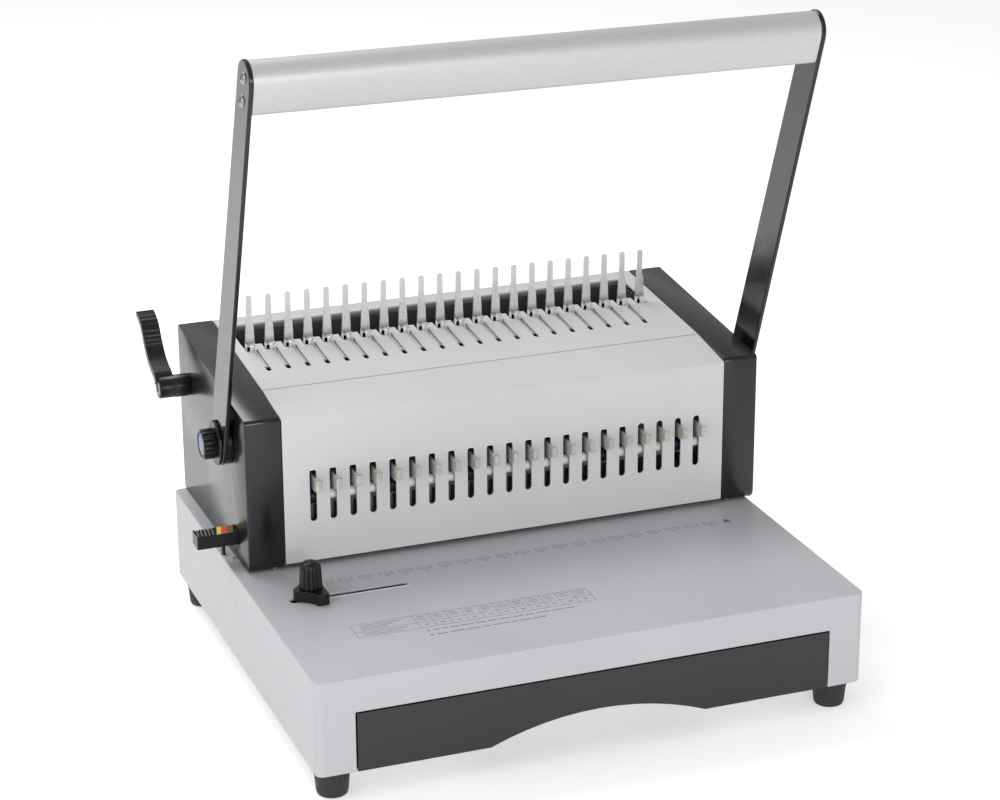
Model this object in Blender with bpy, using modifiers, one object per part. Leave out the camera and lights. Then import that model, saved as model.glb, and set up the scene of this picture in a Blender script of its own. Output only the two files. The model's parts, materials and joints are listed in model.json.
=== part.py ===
"""Comb binding machine: a manual punch and comb opener in one housing.

All sizes are metres. The design is laid out in machine coordinates: X from the middle
comb tooth to the right, Y from the housing's front face to the rear, Z from the base's
top face upward. One empty carries everything to the object's own frame.
"""

import math

import bmesh
import bpy
from mathutils import Matrix, Vector

# --- Overall layout -------------------------------------------------------------------
MACHINE_ORIGIN = (0.007, -0.0113, 0.086)
FIT_GAP = 0.0003
SHEET = 0.0012
COMB_PITCH = 0.0142875
TOOTH_COUNT = 21
FINGER_COUNT = 22

BASE_LEFT, BASE_RIGHT = -0.1985, 0.187
BASE_FRONT, BASE_REAR = -0.177, 0.173
BASE_BOTTOM = -0.066
BASE_WALL = 0.0016
BASE_CORNER = 0.005
PLATE_THICKNESS = 0.0015
CUT_REACH = 0.01

FOOT_HEIGHT = 0.0197
FOOT_TOP_RADIUS, FOOT_BOTTOM_RADIUS = 0.0125, 0.0103
FOOT_PLACES = {
    "foot_front_left": (-0.1835, -0.160),
    "foot_front_right": (0.172, -0.160),
    "foot_rear_left": (-0.1835, 0.156),
    "foot_rear_right": (0.172, 0.156),
}

# --- Housing --------------------------------------------------------------------------
CAP_OUTER, CAP_INNER = 0.190, 0.164
CAP_WALL = 0.002
HOUSING_DEPTH = 0.1735
CAP_FRONT_TOP, CAP_REAR_TOP = 0.1116, 0.1276
COVER_HALF_WIDTH = 0.1637
COVER_BOTTOM = 0.0044
COVER_FRONT_TOP = 0.1093
CREASE_Y, CREASE_Z = 0.045, 0.1159
COVER_REAR_TOP = 0.1271
COVER_SLOPE = math.atan2(COVER_REAR_TOP - CREASE_Z, HOUSING_DEPTH - CREASE_Y)

FRONT_SLOT_WIDTH = 0.0049
FRONT_SLOT_LOW, FRONT_SLOT_HIGH = 0.0332, 0.0714
TOP_SLOT_WIDTH = 0.0036
TOP_SLOT_FIRST_X = -0.1494
TOP_SLOT_FRONT = 0.0748
NOTCH_FIRST_X = (-0.1562, -0.1477)
NOTCH_FRONT = 0.111
TROUGH_LEFT, TROUGH_RIGHT = -0.1565, 0.152
TROUGH_FRONT, TROUGH_REAR = 0.122, 0.1585
TROUGH_FLOOR = 0.0985

FRAME_INNER, FRAME_OUTER = 0.169, 0.172

# --- Handle and punch drive -----------------------------------------------------------
PIVOT_Y, PIVOT_Z = 0.0435, 0.083
HANDLE_LEAN = math.radians(20.5)
ARM_INNER, ARM_OUTER = 0.1944, 0.1974
ARM_ROOT_RADIUS, ARM_TIP_RADIUS = 0.016, 0.0132
ARM_LENGTH = 0.294
GRIP_HALF_THICKNESS = 0.0125
GRIP_LOW = 0.2745
GRIP_CORNER = 0.003
GRIP_WALL = 0.0022
SHAFT_RADIUS, STUB_RADIUS = 0.008, 0.005
STUB_END = 0.1999
SPACER_RADIUS = 0.0155
WASHER_RADIUS = 0.016
KNOB_RADIUS = 0.0105
KNOB_FLUTE = 0.0006
KNOB_FLUTES = 18
LEFT_KNOB_END, RIGHT_KNOB_END = 0.209, 0.205

PINION_TEETH = 16
PINION_PITCH_RADIUS = 0.016
TOOTH_PITCH = 2 * math.pi * PINION_PITCH_RADIUS / PINION_TEETH
TOOTH_ADDENDUM, TOOTH_DEDENDUM = 0.0017, 0.0024
TOOTH_SHARE = 0.40
PRESSURE_ANGLE = math.radians(20)
PINION_INNER, PINION_OUTER = 0.1504, 0.1576
RACK_LINE_Y = PIVOT_Y - PINION_PITCH_RADIUS
RACK_BACK_Y = 0.0185
RACK_TOP = 0.107

CARRIAGE_FRONT, CARRIAGE_REAR = 0.0133, 0.0251
CARRIAGE_LOW, CARRIAGE_HIGH = 0.040, 0.0564
CARRIAGE_HALF_LENGTH = 0.161
PUNCH_Y = 0.015
PUNCH_HALF = (0.004, 0.0015)
PUNCH_TIP = 0.0056
PUNCH_CLEARANCE = 0.0002
DIE_HALF_LENGTH, DIE_FRONT, DIE_REAR = 0.1630, 0.0040, 0.0260
DIE_RIB_HALF_LENGTH, DIE_RIB_FRONT, DIE_RIB_REAR = 0.1570, 0.0090, 0.0210
DIE_THICKNESS = 0.0026
PUNCH_GUIDE_FRONT, PUNCH_GUIDE_REAR = 0.0060, 0.0240
PUNCH_GUIDE_THICKNESS = 0.0040
PRESSURE_BAR_Y, PRESSURE_BAR_Z = 0.0085, 0.0487
PRESSURE_BAR_RADIUS = 0.0036

TAB_THICKNESS = 0.0015
TAB_REAR = 0.024
TAB_FRONT = -0.010
TAB_LOW, TAB_HIGH = 0.0570, 0.0670
TAB_FLANGE = 0.0037
TAB_FLANGE_LOW, TAB_FLANGE_HIGH = 0.0586, 0.0658

# --- Comb opener ----------------------------------------------------------------------
LEVER_Y, LEVER_Z = 0.148, 0.0895
LEVER_SHAFT_RADIUS, LEVER_STUB_RADIUS = 0.005, 0.004
CRANK_RADIUS = 0.0212
CRANK_INNER, CRANK_OUTER = 0.165, 0.1675
CRANK_PIN_RADIUS = 0.003
FORK_INNER, FORK_OUTER = 0.1609, 0.1626
FORK_HALF_SLOT = 0.00425
FORK_CENTRE_SHIFT = 0.0004
HOOK_PLATE_TOP = -0.0017
HOOK_PLATE_FRONT = 0.0407
HOOK_GAP_LEFT, HOOK_GAP_RIGHT = 0.0017, 0.0027
FINGER_FIRST_X = -0.1523
FINGER_FRONT, FINGER_REAR = 0.1142, 0.1158

# --- Margin guide and chip tray -------------------------------------------------------
SLIDER_FRONT, SLIDER_REAR = 0.025, 0.038
SLIDER_LOW, SLIDER_HIGH = 0.0135, 0.023
SLIDER_TRAVEL = 0.0145
STOP_RATIO = 0.25
STOP_PIN_X, STOP_PIN_Y = -0.176, 0.0325
STOP_PIN_RADIUS = 0.0015

TRAY_LEFT, TRAY_RIGHT = -0.171, 0.161
TRAY_TOP = -0.025
TRAY_BOX_FRONT, TRAY_BOX_REAR = -0.148, 0.060
TRAY_BOX_LOW, TRAY_BOX_HIGH = -0.0640, -0.030
FINGER_ARC_CENTRE_X = -0.005
FINGER_ARC_CHORD, FINGER_ARC_HEIGHT = 0.152, 0.0145

GUIDE_SLOT_Y = -0.0505
GUIDE_SLOT_LEFT, GUIDE_SLOT_RIGHT = -0.1765, -0.0932
GUIDE_SLOT_RADIUS, GUIDE_ENTRY_RADIUS = 0.0025, 0.0035
GUIDE_STUD_RADIUS = 0.0020
GUIDE_X = -0.1615
GUIDE_BLOCK_TOP = 0.0080

ROUND_STEPS = 24

# --- Finishes: base colour (linear), roughness, metallic ------------------------------
FINISHES = {
    "pale_paint": ((0.55, 0.56, 0.58), 0.45, 0.0),
    "anthracite": ((0.035, 0.035, 0.04), 0.25, 0.0),
    "grip_grey": ((0.42, 0.43, 0.46), 0.35, 0.0),
    "black_plastic": ((0.02, 0.02, 0.022), 0.40, 0.0),
    "bright_steel": ((0.70, 0.70, 0.72), 0.25, 1.0),
    "dull_steel": ((0.45, 0.45, 0.46), 0.45, 1.0),
    "foot_rubber": ((0.02, 0.02, 0.02), 0.85, 0.0),
}


# --- Making and placing objects -------------------------------------------------------
def clear_scene():
    for obj in list(bpy.data.objects):
        bpy.data.objects.remove(obj, do_unlink=True)


clear_scene()
parts = bpy.data.collections.new("comb_binding_machine")
cutters = bpy.data.collections.new("cutters")
bpy.context.scene.collection.children.link(parts)
bpy.context.scene.collection.children.link(cutters)
machine = bpy.data.objects.new("machine_origin", None)
machine.location = MACHINE_ORIGIN
parts.objects.link(machine)

PLANE_TURNS = {
    "XY": Matrix.Identity(4),
    "XZ": Matrix(((1, 0, 0, 0), (0, 0, -1, 0), (0, 1, 0, 0), (0, 0, 0, 1))),
    "YZ": Matrix(((0, 0, 1, 0), (1, 0, 0, 0), (0, 1, 0, 0), (0, 0, 0, 1))),
}


def place_mesh(name, bm, origin=(0, 0, 0), finish="pale_paint"):
    """Makes a part from a bmesh in machine coordinates, with its origin at the point given."""
    bmesh.ops.translate(bm, verts=bm.verts, vec=-Vector(origin))
    bmesh.ops.recalc_face_normals(bm, faces=bm.faces)
    mesh = bpy.data.meshes.new(name)
    bm.to_mesh(mesh)
    bm.free()
    obj = bpy.data.objects.new(name, mesh)
    obj.location = origin
    obj.parent = machine
    parts.objects.link(obj)
    paint(obj, finish)
    return obj


def paint(obj, finish):
    colour, roughness, metallic = FINISHES[finish]
    material = bpy.data.materials.new(f"{obj.name}_{finish}")
    material.use_nodes = True
    shader = material.node_tree.nodes["Principled BSDF"]
    shader.inputs["Base Color"].default_value = (*colour, 1.0)
    shader.inputs["Roughness"].default_value = roughness
    shader.inputs["Metallic"].default_value = metallic
    obj.data.materials.clear()
    obj.data.materials.append(material)


def combine(obj, bm, operation):
    """Adds a Boolean modifier whose operand is the bmesh, in machine coordinates."""
    bmesh.ops.recalc_face_normals(bm, faces=bm.faces)
    mesh = bpy.data.meshes.new(f"{obj.name}_{operation.lower()}")
    bm.to_mesh(mesh)
    bm.free()
    tool = bpy.data.objects.new(mesh.name, mesh)
    tool.parent = machine
    tool.hide_render = True
    tool.display_type = "WIRE"
    cutters.objects.link(tool)
    modifier = obj.modifiers.new(operation.capitalize(), "BOOLEAN")
    modifier.operation = operation
    modifier.solver = "EXACT"
    modifier.object = tool


def carve(obj, bm):
    combine(obj, bm, "DIFFERENCE")


def weld_on(obj, bm):
    combine(obj, bm, "UNION")


def round_edges(obj, width, segments=2):
    bevel = obj.modifiers.new("Bevel", "BEVEL")
    bevel.width = width
    bevel.segments = segments
    bevel.limit_method = "ANGLE"
    bevel.angle_limit = math.radians(40)


def add_box(bm, low, high):
    centre = (Vector(low) + Vector(high)) / 2
    size = Vector(high) - Vector(low)
    place = Matrix.Translation(centre) @ Matrix.Diagonal((*size, 1))
    bmesh.ops.create_cube(bm, size=1, matrix=place)


def add_cylinder(bm, low_end, high_end, radius, top_radius=None, steps=ROUND_STEPS):
    """A cylinder or cone between two points on its axis."""
    low_end, high_end = Vector(low_end), Vector(high_end)
    axis = high_end - low_end
    turn = axis.to_track_quat("Z", "Y").to_matrix().to_4x4()
    bmesh.ops.create_cone(
        bm,
        cap_ends=True,
        segments=steps,
        radius1=radius,
        radius2=radius if top_radius is None else top_radius,
        depth=axis.length,
        matrix=Matrix.Translation((low_end + high_end) / 2) @ turn,
    )


def add_prism(bm, loops, plane, low, high):
    """Adds a flat outline with any holes, extruded from low to high along the plane's normal."""
    curve = bpy.data.curves.new("outline", "CURVE")
    curve.dimensions = "2D"
    curve.fill_mode = "BOTH"
    curve.extrude = (high - low) / 2
    for loop in loops:
        spline = curve.splines.new("POLY")
        spline.points.add(len(loop) - 1)
        for point, (across, up) in zip(spline.points, loop):
            point.co = (across, up, 0, 1)
        spline.use_cyclic_u = True
    holder = bpy.data.objects.new("outline", curve)
    mesh = bpy.data.meshes.new_from_object(holder)
    middle = (low + high) / 2
    along = -middle if plane == "XZ" else middle
    mesh.transform(PLANE_TURNS[plane] @ Matrix.Translation((0, 0, along)))
    piece = bmesh.new()
    piece.from_mesh(mesh)
    bmesh.ops.remove_doubles(piece, verts=piece.verts, dist=1e-6)
    bmesh.ops.recalc_face_normals(piece, faces=piece.faces)
    bmesh.ops.dissolve_limit(
        piece, angle_limit=math.radians(0.5), verts=piece.verts, edges=piece.edges
    )
    piece.to_mesh(mesh)
    piece.free()
    bm.from_mesh(mesh)
    bpy.data.meshes.remove(mesh)
    bpy.data.objects.remove(holder)
    bpy.data.curves.remove(curve)


def prism(loops, plane, low, high):
    bm = bmesh.new()
    add_prism(bm, loops, plane, low, high)
    return bm


def turned(name, profile, origin, along_x, finish, steps=ROUND_STEPS):
    """A solid of revolution; the profile lists (radius, height) from its top to its bottom."""
    bm = bmesh.new()
    corners = [bm.verts.new((radius, 0, height)) for radius, height in profile]
    for upper, lower in zip(corners, corners[1:]):
        bm.edges.new((upper, lower))
    mesh = bpy.data.meshes.new(name)
    bm.to_mesh(mesh)
    bm.free()
    obj = bpy.data.objects.new(name, mesh)
    obj.location = origin
    obj.rotation_euler = (0, math.pi / 2, 0) if along_x else (0, 0, 0)
    obj.parent = machine
    parts.objects.link(obj)
    screw = obj.modifiers.new("Screw", "SCREW")
    screw.angle = 2 * math.pi
    screw.steps = screw.render_steps = steps
    screw.use_merge_vertices = True
    screw.merge_threshold = 1e-6
    paint(obj, finish)
    return obj


# --- Outlines -------------------------------------------------------------------------
def arc(centre, radius, start, end, steps):
    """Points on an arc, from start to end degrees."""
    points = []
    for step in range(steps + 1):
        angle = math.radians(start + (end - start) * step / steps)
        points.append(
            (centre[0] + radius * math.cos(angle), centre[1] + radius * math.sin(angle))
        )
    return points


def circle(centre, radius, steps=ROUND_STEPS):
    return arc(centre, radius, 0, 360 - 360 / steps, steps - 1)


def rectangle(low, high):
    return [low, (high[0], low[1]), high, (low[0], high[1])]


def rounded_rectangle(low, high, radius, steps=3):
    corners = (
        ((high[0] - radius, low[1] + radius), -90),
        ((high[0] - radius, high[1] - radius), 0),
        ((low[0] + radius, high[1] - radius), 90),
        ((low[0] + radius, low[1] + radius), 180),
    )
    points = []
    for centre, start in corners:
        points += arc(centre, radius, start, start + 90, steps)
    return points


def fluted_circle(centre, radius, depth, flutes):
    """A circle with shallow hollows: two crest points and one hollow point a flute."""
    points = []
    for flute in range(flutes):
        for share, reach in ((0.0, radius), (0.45, radius), (0.72, radius - depth)):
            angle = 2 * math.pi * (flute + share) / flutes
            points.append(
                (centre[0] + reach * math.cos(angle), centre[1] + reach * math.sin(angle))
            )
    return points


def cover_top(y):
    """Height of the cover's outer face at a place behind the crease."""
    return CREASE_Z + (y - CREASE_Y) * math.tan(COVER_SLOPE)


def cap_top(y):
    return CAP_FRONT_TOP + (CAP_REAR_TOP - CAP_FRONT_TOP) * y / HOUSING_DEPTH


def finger_arc():
    """The hollow in the tray front's lower edge, as (x, z) points from right to left."""
    half = FINGER_ARC_CHORD / 2
    radius = (half**2 + FINGER_ARC_HEIGHT**2) / (2 * FINGER_ARC_HEIGHT)
    centre = (FINGER_ARC_CENTRE_X, BASE_BOTTOM + FIT_GAP + FINGER_ARC_HEIGHT - radius)
    spread = math.degrees(math.asin(half / radius))
    return arc(centre, radius, 90 - spread, 90 + spread, 12)


def slope_point(along, above):
    """A (y, z) place given along the cover's rear slope from the crease, and above it."""
    return (
        CREASE_Y + along * math.cos(COVER_SLOPE) - above * math.sin(COVER_SLOPE),
        CREASE_Z + along * math.sin(COVER_SLOPE) + above * math.cos(COVER_SLOPE),
    )


def handle_point(across, up):
    """A (y, z) place given across the leaning arm, rearward positive, and up it."""
    return (
        PIVOT_Y + across * math.cos(HANDLE_LEAN) - up * math.sin(HANDLE_LEAN),
        PIVOT_Z + across * math.sin(HANDLE_LEAN) + up * math.cos(HANDLE_LEAN),
    )


# --- Base -----------------------------------------------------------------------------
def make_base_shell():
    outer = rounded_rectangle((BASE_LEFT, BASE_FRONT), (BASE_RIGHT, BASE_REAR), BASE_CORNER)
    shell = place_mesh("base_shell", prism([outer], "XY", BASE_BOTTOM, 0))
    round_edges(shell, 0.0008)
    inner = rounded_rectangle(
        (BASE_LEFT + BASE_WALL, BASE_FRONT + BASE_WALL),
        (BASE_RIGHT - BASE_WALL, BASE_REAR - BASE_WALL),
        BASE_CORNER - BASE_WALL,
    )
    carve(shell, prism([inner], "XY", BASE_BOTTOM - CUT_REACH, -BASE_WALL))

    openings = bmesh.new()
    tray_clear, rib_clear = 0.001, 0.0004
    add_box(
        openings,
        (TRAY_LEFT - tray_clear, BASE_FRONT - CUT_REACH, BASE_BOTTOM - CUT_REACH),
        (TRAY_RIGHT + tray_clear, BASE_FRONT + BASE_CORNER - tray_clear, TRAY_TOP + tray_clear),
    )
    add_box(
        openings,
        (-DIE_RIB_HALF_LENGTH - rib_clear, DIE_RIB_FRONT - rib_clear, -CUT_REACH),
        (DIE_RIB_HALF_LENGTH + rib_clear, DIE_RIB_REAR + rib_clear, CUT_REACH),
    )
    reach, entry = GUIDE_SLOT_RADIUS, GUIDE_ENTRY_RADIUS
    slot = arc((GUIDE_SLOT_RIGHT - reach, GUIDE_SLOT_Y), reach, -90, 90, 6)
    slot += arc((GUIDE_SLOT_LEFT + entry, GUIDE_SLOT_Y), entry, 45, 315, 12)
    add_prism(openings, [slot], "XY", -CUT_REACH, CUT_REACH)
    carve(shell, openings)


def make_bottom_plate():
    edge, tray_panel_room = 0.0005, 0.0026
    left, right = BASE_LEFT + BASE_WALL + edge, BASE_RIGHT - BASE_WALL - edge
    front, rear = BASE_FRONT + tray_panel_room, BASE_REAR - BASE_WALL - edge
    notch_half = FINGER_ARC_CHORD / 2 + 0.008
    notch_rear = TRAY_BOX_FRONT + 0.001
    corner = 0.004
    outline = [
        (left, front + corner),
        (left + corner, front),
        (FINGER_ARC_CENTRE_X - notch_half, front),
        (FINGER_ARC_CENTRE_X - notch_half, notch_rear),
        (FINGER_ARC_CENTRE_X + notch_half, notch_rear),
        (FINGER_ARC_CENTRE_X + notch_half, front),
        (right - corner, front),
        (right, front + corner),
        (right, rear - corner),
        (right - corner, rear),
        (left + corner, rear),
        (left, rear - corner),
    ]
    low = BASE_BOTTOM + 0.0002
    bm = prism([outline], "XY", low, low + PLATE_THICKNESS)
    place_mesh("bottom_plate", bm, finish="dull_steel")


def make_feet():
    top = BASE_BOTTOM - FIT_GAP
    for name, (x, y) in FOOT_PLACES.items():
        bm = bmesh.new()
        add_cylinder(
            bm, (x, y, top - FOOT_HEIGHT), (x, y, top), FOOT_BOTTOM_RADIUS, FOOT_TOP_RADIUS
        )
        place_mesh(name, bm, (x, y, top), "foot_rubber")


def make_chip_tray():
    panel_overhang = 0.005
    left, right = TRAY_LEFT + panel_overhang, TRAY_RIGHT - panel_overhang
    wall = PLATE_THICKNESS
    bm = bmesh.new()
    add_box(bm, (left, TRAY_BOX_FRONT, TRAY_BOX_LOW), (right, TRAY_BOX_REAR, TRAY_BOX_HIGH))
    tray = place_mesh("chip_tray", bm, finish="anthracite")
    inside = bmesh.new()
    add_box(
        inside,
        (left + wall, TRAY_BOX_FRONT + wall, TRAY_BOX_LOW + wall),
        (right - wall, TRAY_BOX_REAR - wall, 0),
    )
    carve(tray, inside)
    brackets = bmesh.new()
    for low, high in ((left, left + wall), (right - wall, right)):
        add_box(
            brackets,
            (low, BASE_FRONT + wall / 2, TRAY_BOX_LOW),
            (high, TRAY_BOX_FRONT + wall, TRAY_BOX_HIGH),
        )
    weld_on(tray, brackets)
    low = BASE_BOTTOM + FIT_GAP
    panel = [(TRAY_LEFT, low), (TRAY_LEFT, TRAY_TOP), (TRAY_RIGHT, TRAY_TOP), (TRAY_RIGHT, low)]
    panel += finger_arc()
    weld_on(tray, prism([panel], "XZ", BASE_FRONT, BASE_FRONT + wall))


def make_edge_guide():
    """A stop for the paper's left edge: block, clamp plate below the base and a knob."""
    hole = circle((GUIDE_X, GUIDE_SLOT_Y), GUIDE_STUD_RADIUS + FIT_GAP, 12)
    front, rear = GUIDE_SLOT_Y - 0.0090, GUIDE_SLOT_Y + 0.0065
    left, right = GUIDE_X - 0.0085, GUIDE_X + 0.0082
    block = [(right, front), (right, rear), (left, rear)]
    block += arc((left - 0.0025, GUIDE_SLOT_Y - 0.0015), 0.0040, 110, 215, 4)
    block += [(left, front)]
    bm = prism([block, hole], "XY", FIT_GAP, GUIDE_BLOCK_TOP)
    obj = place_mesh("edge_guide_block", bm, (GUIDE_X, GUIDE_SLOT_Y, 0), "black_plastic")
    round_edges(obj, 0.0005, 1)

    below = -BASE_WALL - FIT_GAP
    half, corner, thickness = 0.006, 0.001, 0.003
    plate = rounded_rectangle(
        (GUIDE_X - half, GUIDE_SLOT_Y - half), (GUIDE_X + half, GUIDE_SLOT_Y + half), corner
    )
    bm = prism([plate, hole], "XY", below - thickness, below)
    place_mesh("edge_guide_clamp", bm, (GUIDE_X, GUIDE_SLOT_Y, 0), "dull_steel")

    knob_low, stud_low = GUIDE_BLOCK_TOP + FIT_GAP, -0.0090
    profile = [(0, 0.0276), (0.0030, 0.0273), (0.0058, 0.0262), (0.0074, 0.0240)]
    profile += [(0.0078, 0.0210), (0.0078, 0.0110), (0.0072, knob_low)]
    profile += [(GUIDE_STUD_RADIUS, knob_low), (GUIDE_STUD_RADIUS, stud_low), (0, stud_low)]
    turned("edge_guide_knob", profile, (GUIDE_X, GUIDE_SLOT_Y, 0), False, "black_plastic")


# --- Punch tooling --------------------------------------------------------------------
def tooth_x(index):
    return (index - (TOOTH_COUNT - 1) / 2) * COMB_PITCH


def punch_holes():
    reach_x = PUNCH_HALF[0] + PUNCH_CLEARANCE
    reach_y = PUNCH_HALF[1] + PUNCH_CLEARANCE
    return [
        rectangle(
            (tooth_x(i) - reach_x, PUNCH_Y - reach_y), (tooth_x(i) + reach_x, PUNCH_Y + reach_y)
        )
        for i in range(TOOTH_COUNT)
    ]


def make_die_plate():
    """The lower tool: a flange under the base's top and a rib that fills its slot."""
    flange_top = -BASE_WALL - FIT_GAP
    bm = prism(
        [rectangle((-DIE_HALF_LENGTH, DIE_FRONT), (DIE_HALF_LENGTH, DIE_REAR)), *punch_holes()],
        "XY",
        flange_top - DIE_THICKNESS,
        flange_top,
    )
    plate = place_mesh("die_plate", bm, finish="dull_steel")
    rib = rectangle((-DIE_RIB_HALF_LENGTH, DIE_RIB_FRONT), (DIE_RIB_HALF_LENGTH, DIE_RIB_REAR))
    sunk = 0.0001
    weld_on(plate, prism([rib, *punch_holes()], "XY", flange_top - DIE_THICKNESS / 2, -sunk))


def make_punch_guide():
    reach, low = FRAME_INNER - FIT_GAP, COVER_BOTTOM + FIT_GAP
    outline = rectangle((-reach, PUNCH_GUIDE_FRONT), (reach, PUNCH_GUIDE_REAR))
    bm = prism([outline, *punch_holes()], "XY", low, low + PUNCH_GUIDE_THICKNESS)
    place_mesh("punch_guide", bm, finish="dull_steel")


def rack_outline():
    """A rack's side, as (y, z): its back, then teeth meshing with the pinion at rest."""
    root, tip = RACK_LINE_Y - TOOTH_DEDENDUM, RACK_LINE_Y + TOOTH_ADDENDUM
    half_pitch_line = TOOTH_SHARE * TOOTH_PITCH / 2
    half_root = half_pitch_line + TOOTH_DEDENDUM * math.tan(PRESSURE_ANGLE)
    half_tip = half_pitch_line - TOOTH_ADDENDUM * math.tan(PRESSURE_ANGLE)
    low = CARRIAGE_HIGH - 0.004
    points = [(RACK_BACK_Y, low), (root, low)]
    first_gap, last_gap = -1, 3
    for index in range(first_gap, last_gap + 1):
        centre = PIVOT_Z + (index + 0.5) * TOOTH_PITCH
        points += [(root, centre - half_root), (tip, centre - half_tip)]
        points += [(tip, centre + half_tip), (root, centre + half_root)]
    points += [(root, RACK_TOP), (RACK_BACK_Y, RACK_TOP)]
    return points


def pinion_outline():
    """The pinion's side, as (y, z), with a tooth pointing at the rack at rest."""
    root, tip = PINION_PITCH_RADIUS - TOOTH_DEDENDUM, PINION_PITCH_RADIUS + TOOTH_ADDENDUM
    points = []
    for tooth in range(PINION_TEETH):
        middle = math.pi + 2 * math.pi * tooth / PINION_TEETH
        half_pitch_line = math.pi * TOOTH_SHARE / PINION_TEETH
        half_root = half_pitch_line * 1.45
        half_tip = half_pitch_line * 0.55
        for angle, reach in (
            (-half_root, root),
            (-half_pitch_line, PINION_PITCH_RADIUS),
            (-half_tip, tip),
            (half_tip, tip),
            (half_pitch_line, PINION_PITCH_RADIUS),
            (half_root, root),
        ):
            turn = middle + angle
            points.append((PIVOT_Y + reach * math.cos(turn), PIVOT_Z + reach * math.sin(turn)))
    return points


def make_punch_carriage():
    bm = bmesh.new()
    add_box(
        bm,
        (-CARRIAGE_HALF_LENGTH, CARRIAGE_FRONT, CARRIAGE_LOW),
        (CARRIAGE_HALF_LENGTH, CARRIAGE_REAR, CARRIAGE_HIGH),
    )
    carriage = place_mesh("punch_carriage", bm, finish="dull_steel")
    pins = bmesh.new()
    for index in range(TOOTH_COUNT):
        x = tooth_x(index)
        add_box(
            pins,
            (x - PUNCH_HALF[0], PUNCH_Y - PUNCH_HALF[1], PUNCH_TIP),
            (x + PUNCH_HALF[0], PUNCH_Y + PUNCH_HALF[1], CARRIAGE_LOW + 0.004),
        )
    weld_on(carriage, pins)
    racks = bmesh.new()
    for side in (-1, 1):
        low, high = sorted((side * PINION_INNER, side * PINION_OUTER))
        add_prism(racks, [rack_outline()], "YZ", low, high)
    weld_on(carriage, racks)


def make_pressure_bar():
    bm = bmesh.new()
    reach = 0.160
    centre = (PRESSURE_BAR_Y, PRESSURE_BAR_Z)
    add_cylinder(bm, (-reach, *centre), (reach, *centre), PRESSURE_BAR_RADIUS, steps=20)
    place_mesh("pressure_bar", bm, (0, *centre), "bright_steel")


def tab_outline():
    """A pull tab seen from above, as (x, y): a strip that bends to the right at its front."""
    half = TAB_THICKNESS / 2
    bend = 0.0020
    outer = arc((-half + bend, TAB_FRONT + bend), bend, 180, 270, 3)
    inner_radius = bend - TAB_THICKNESS
    inner = arc((-half + bend, TAB_FRONT + bend), inner_radius, 270, 180, 2)
    points = [(half, TAB_REAR), (-half, TAB_REAR), *outer]
    points += [(TAB_FLANGE, TAB_FRONT), (TAB_FLANGE, TAB_FRONT + TAB_THICKNESS), *inner]
    return points


def make_pull_tabs():
    for index in range(TOOTH_COUNT):
        x = tooth_x(index)
        outline = [(x + across, y) for across, y in tab_outline()]
        bm = prism([outline], "XY", TAB_LOW, TAB_HIGH)
        tab = place_mesh(f"pull_tab_{index + 1:02d}", bm, (x, TAB_FRONT, TAB_LOW), "bright_steel")
        trim = bmesh.new()
        beyond = 0.002
        front = TAB_FRONT - beyond
        add_box(
            trim,
            (x - beyond, front, TAB_LOW - beyond),
            (x + TAB_FLANGE + beyond, TAB_FRONT + 0.0035, TAB_FLANGE_LOW),
        )
        add_box(
            trim,
            (x - beyond, front, TAB_FLANGE_HIGH),
            (x + TAB_FLANGE + beyond, TAB_FRONT + 0.0025, TAB_HIGH + beyond),
        )
        carve(tab, trim)


# --- Margin guide ---------------------------------------------------------------------
def make_margin_slider():
    bm = bmesh.new()
    head_left, cap_face = -0.219, -CAP_OUTER
    add_box(bm, (head_left, SLIDER_FRONT, SLIDER_LOW), (cap_face, SLIDER_REAR, SLIDER_HIGH))
    origin = (cap_face, (SLIDER_FRONT + SLIDER_REAR) / 2, SLIDER_LOW)
    slider = place_mesh("margin_slider", bm, origin, "black_plastic")
    tongue = bmesh.new()
    tongue_low, tongue_high = SLIDER_LOW + 0.0005, SLIDER_LOW + 0.0045
    add_box(
        tongue,
        (cap_face - 0.002, SLIDER_FRONT, tongue_low),
        (STOP_PIN_X + 0.005, SLIDER_REAR, tongue_high),
    )
    weld_on(slider, tongue)
    reach = STOP_PIN_RADIUS + 0.0006
    slant = math.degrees(math.atan(STOP_RATIO))
    start = (STOP_PIN_X, STOP_PIN_Y)
    end = (STOP_PIN_X - SLIDER_TRAVEL, STOP_PIN_Y - SLIDER_TRAVEL * STOP_RATIO)
    slot = arc(start, reach, slant - 90, slant + 90, 6)
    slot += arc(end, reach, slant + 90, slant + 270, 6)
    carve(slider, prism([slot], "XY", tongue_low - 0.002, tongue_high + 0.001))
    grooves = bmesh.new()
    groove_pitch = 0.0020
    for index in range(6):
        x = head_left + 0.0015 + index * groove_pitch
        add_box(
            grooves,
            (x, SLIDER_FRONT - 0.001, SLIDER_HIGH - 0.0007),
            (x + groove_pitch / 2, SLIDER_REAR + 0.001, SLIDER_HIGH + 0.001),
        )
    carve(slider, grooves)


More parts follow.
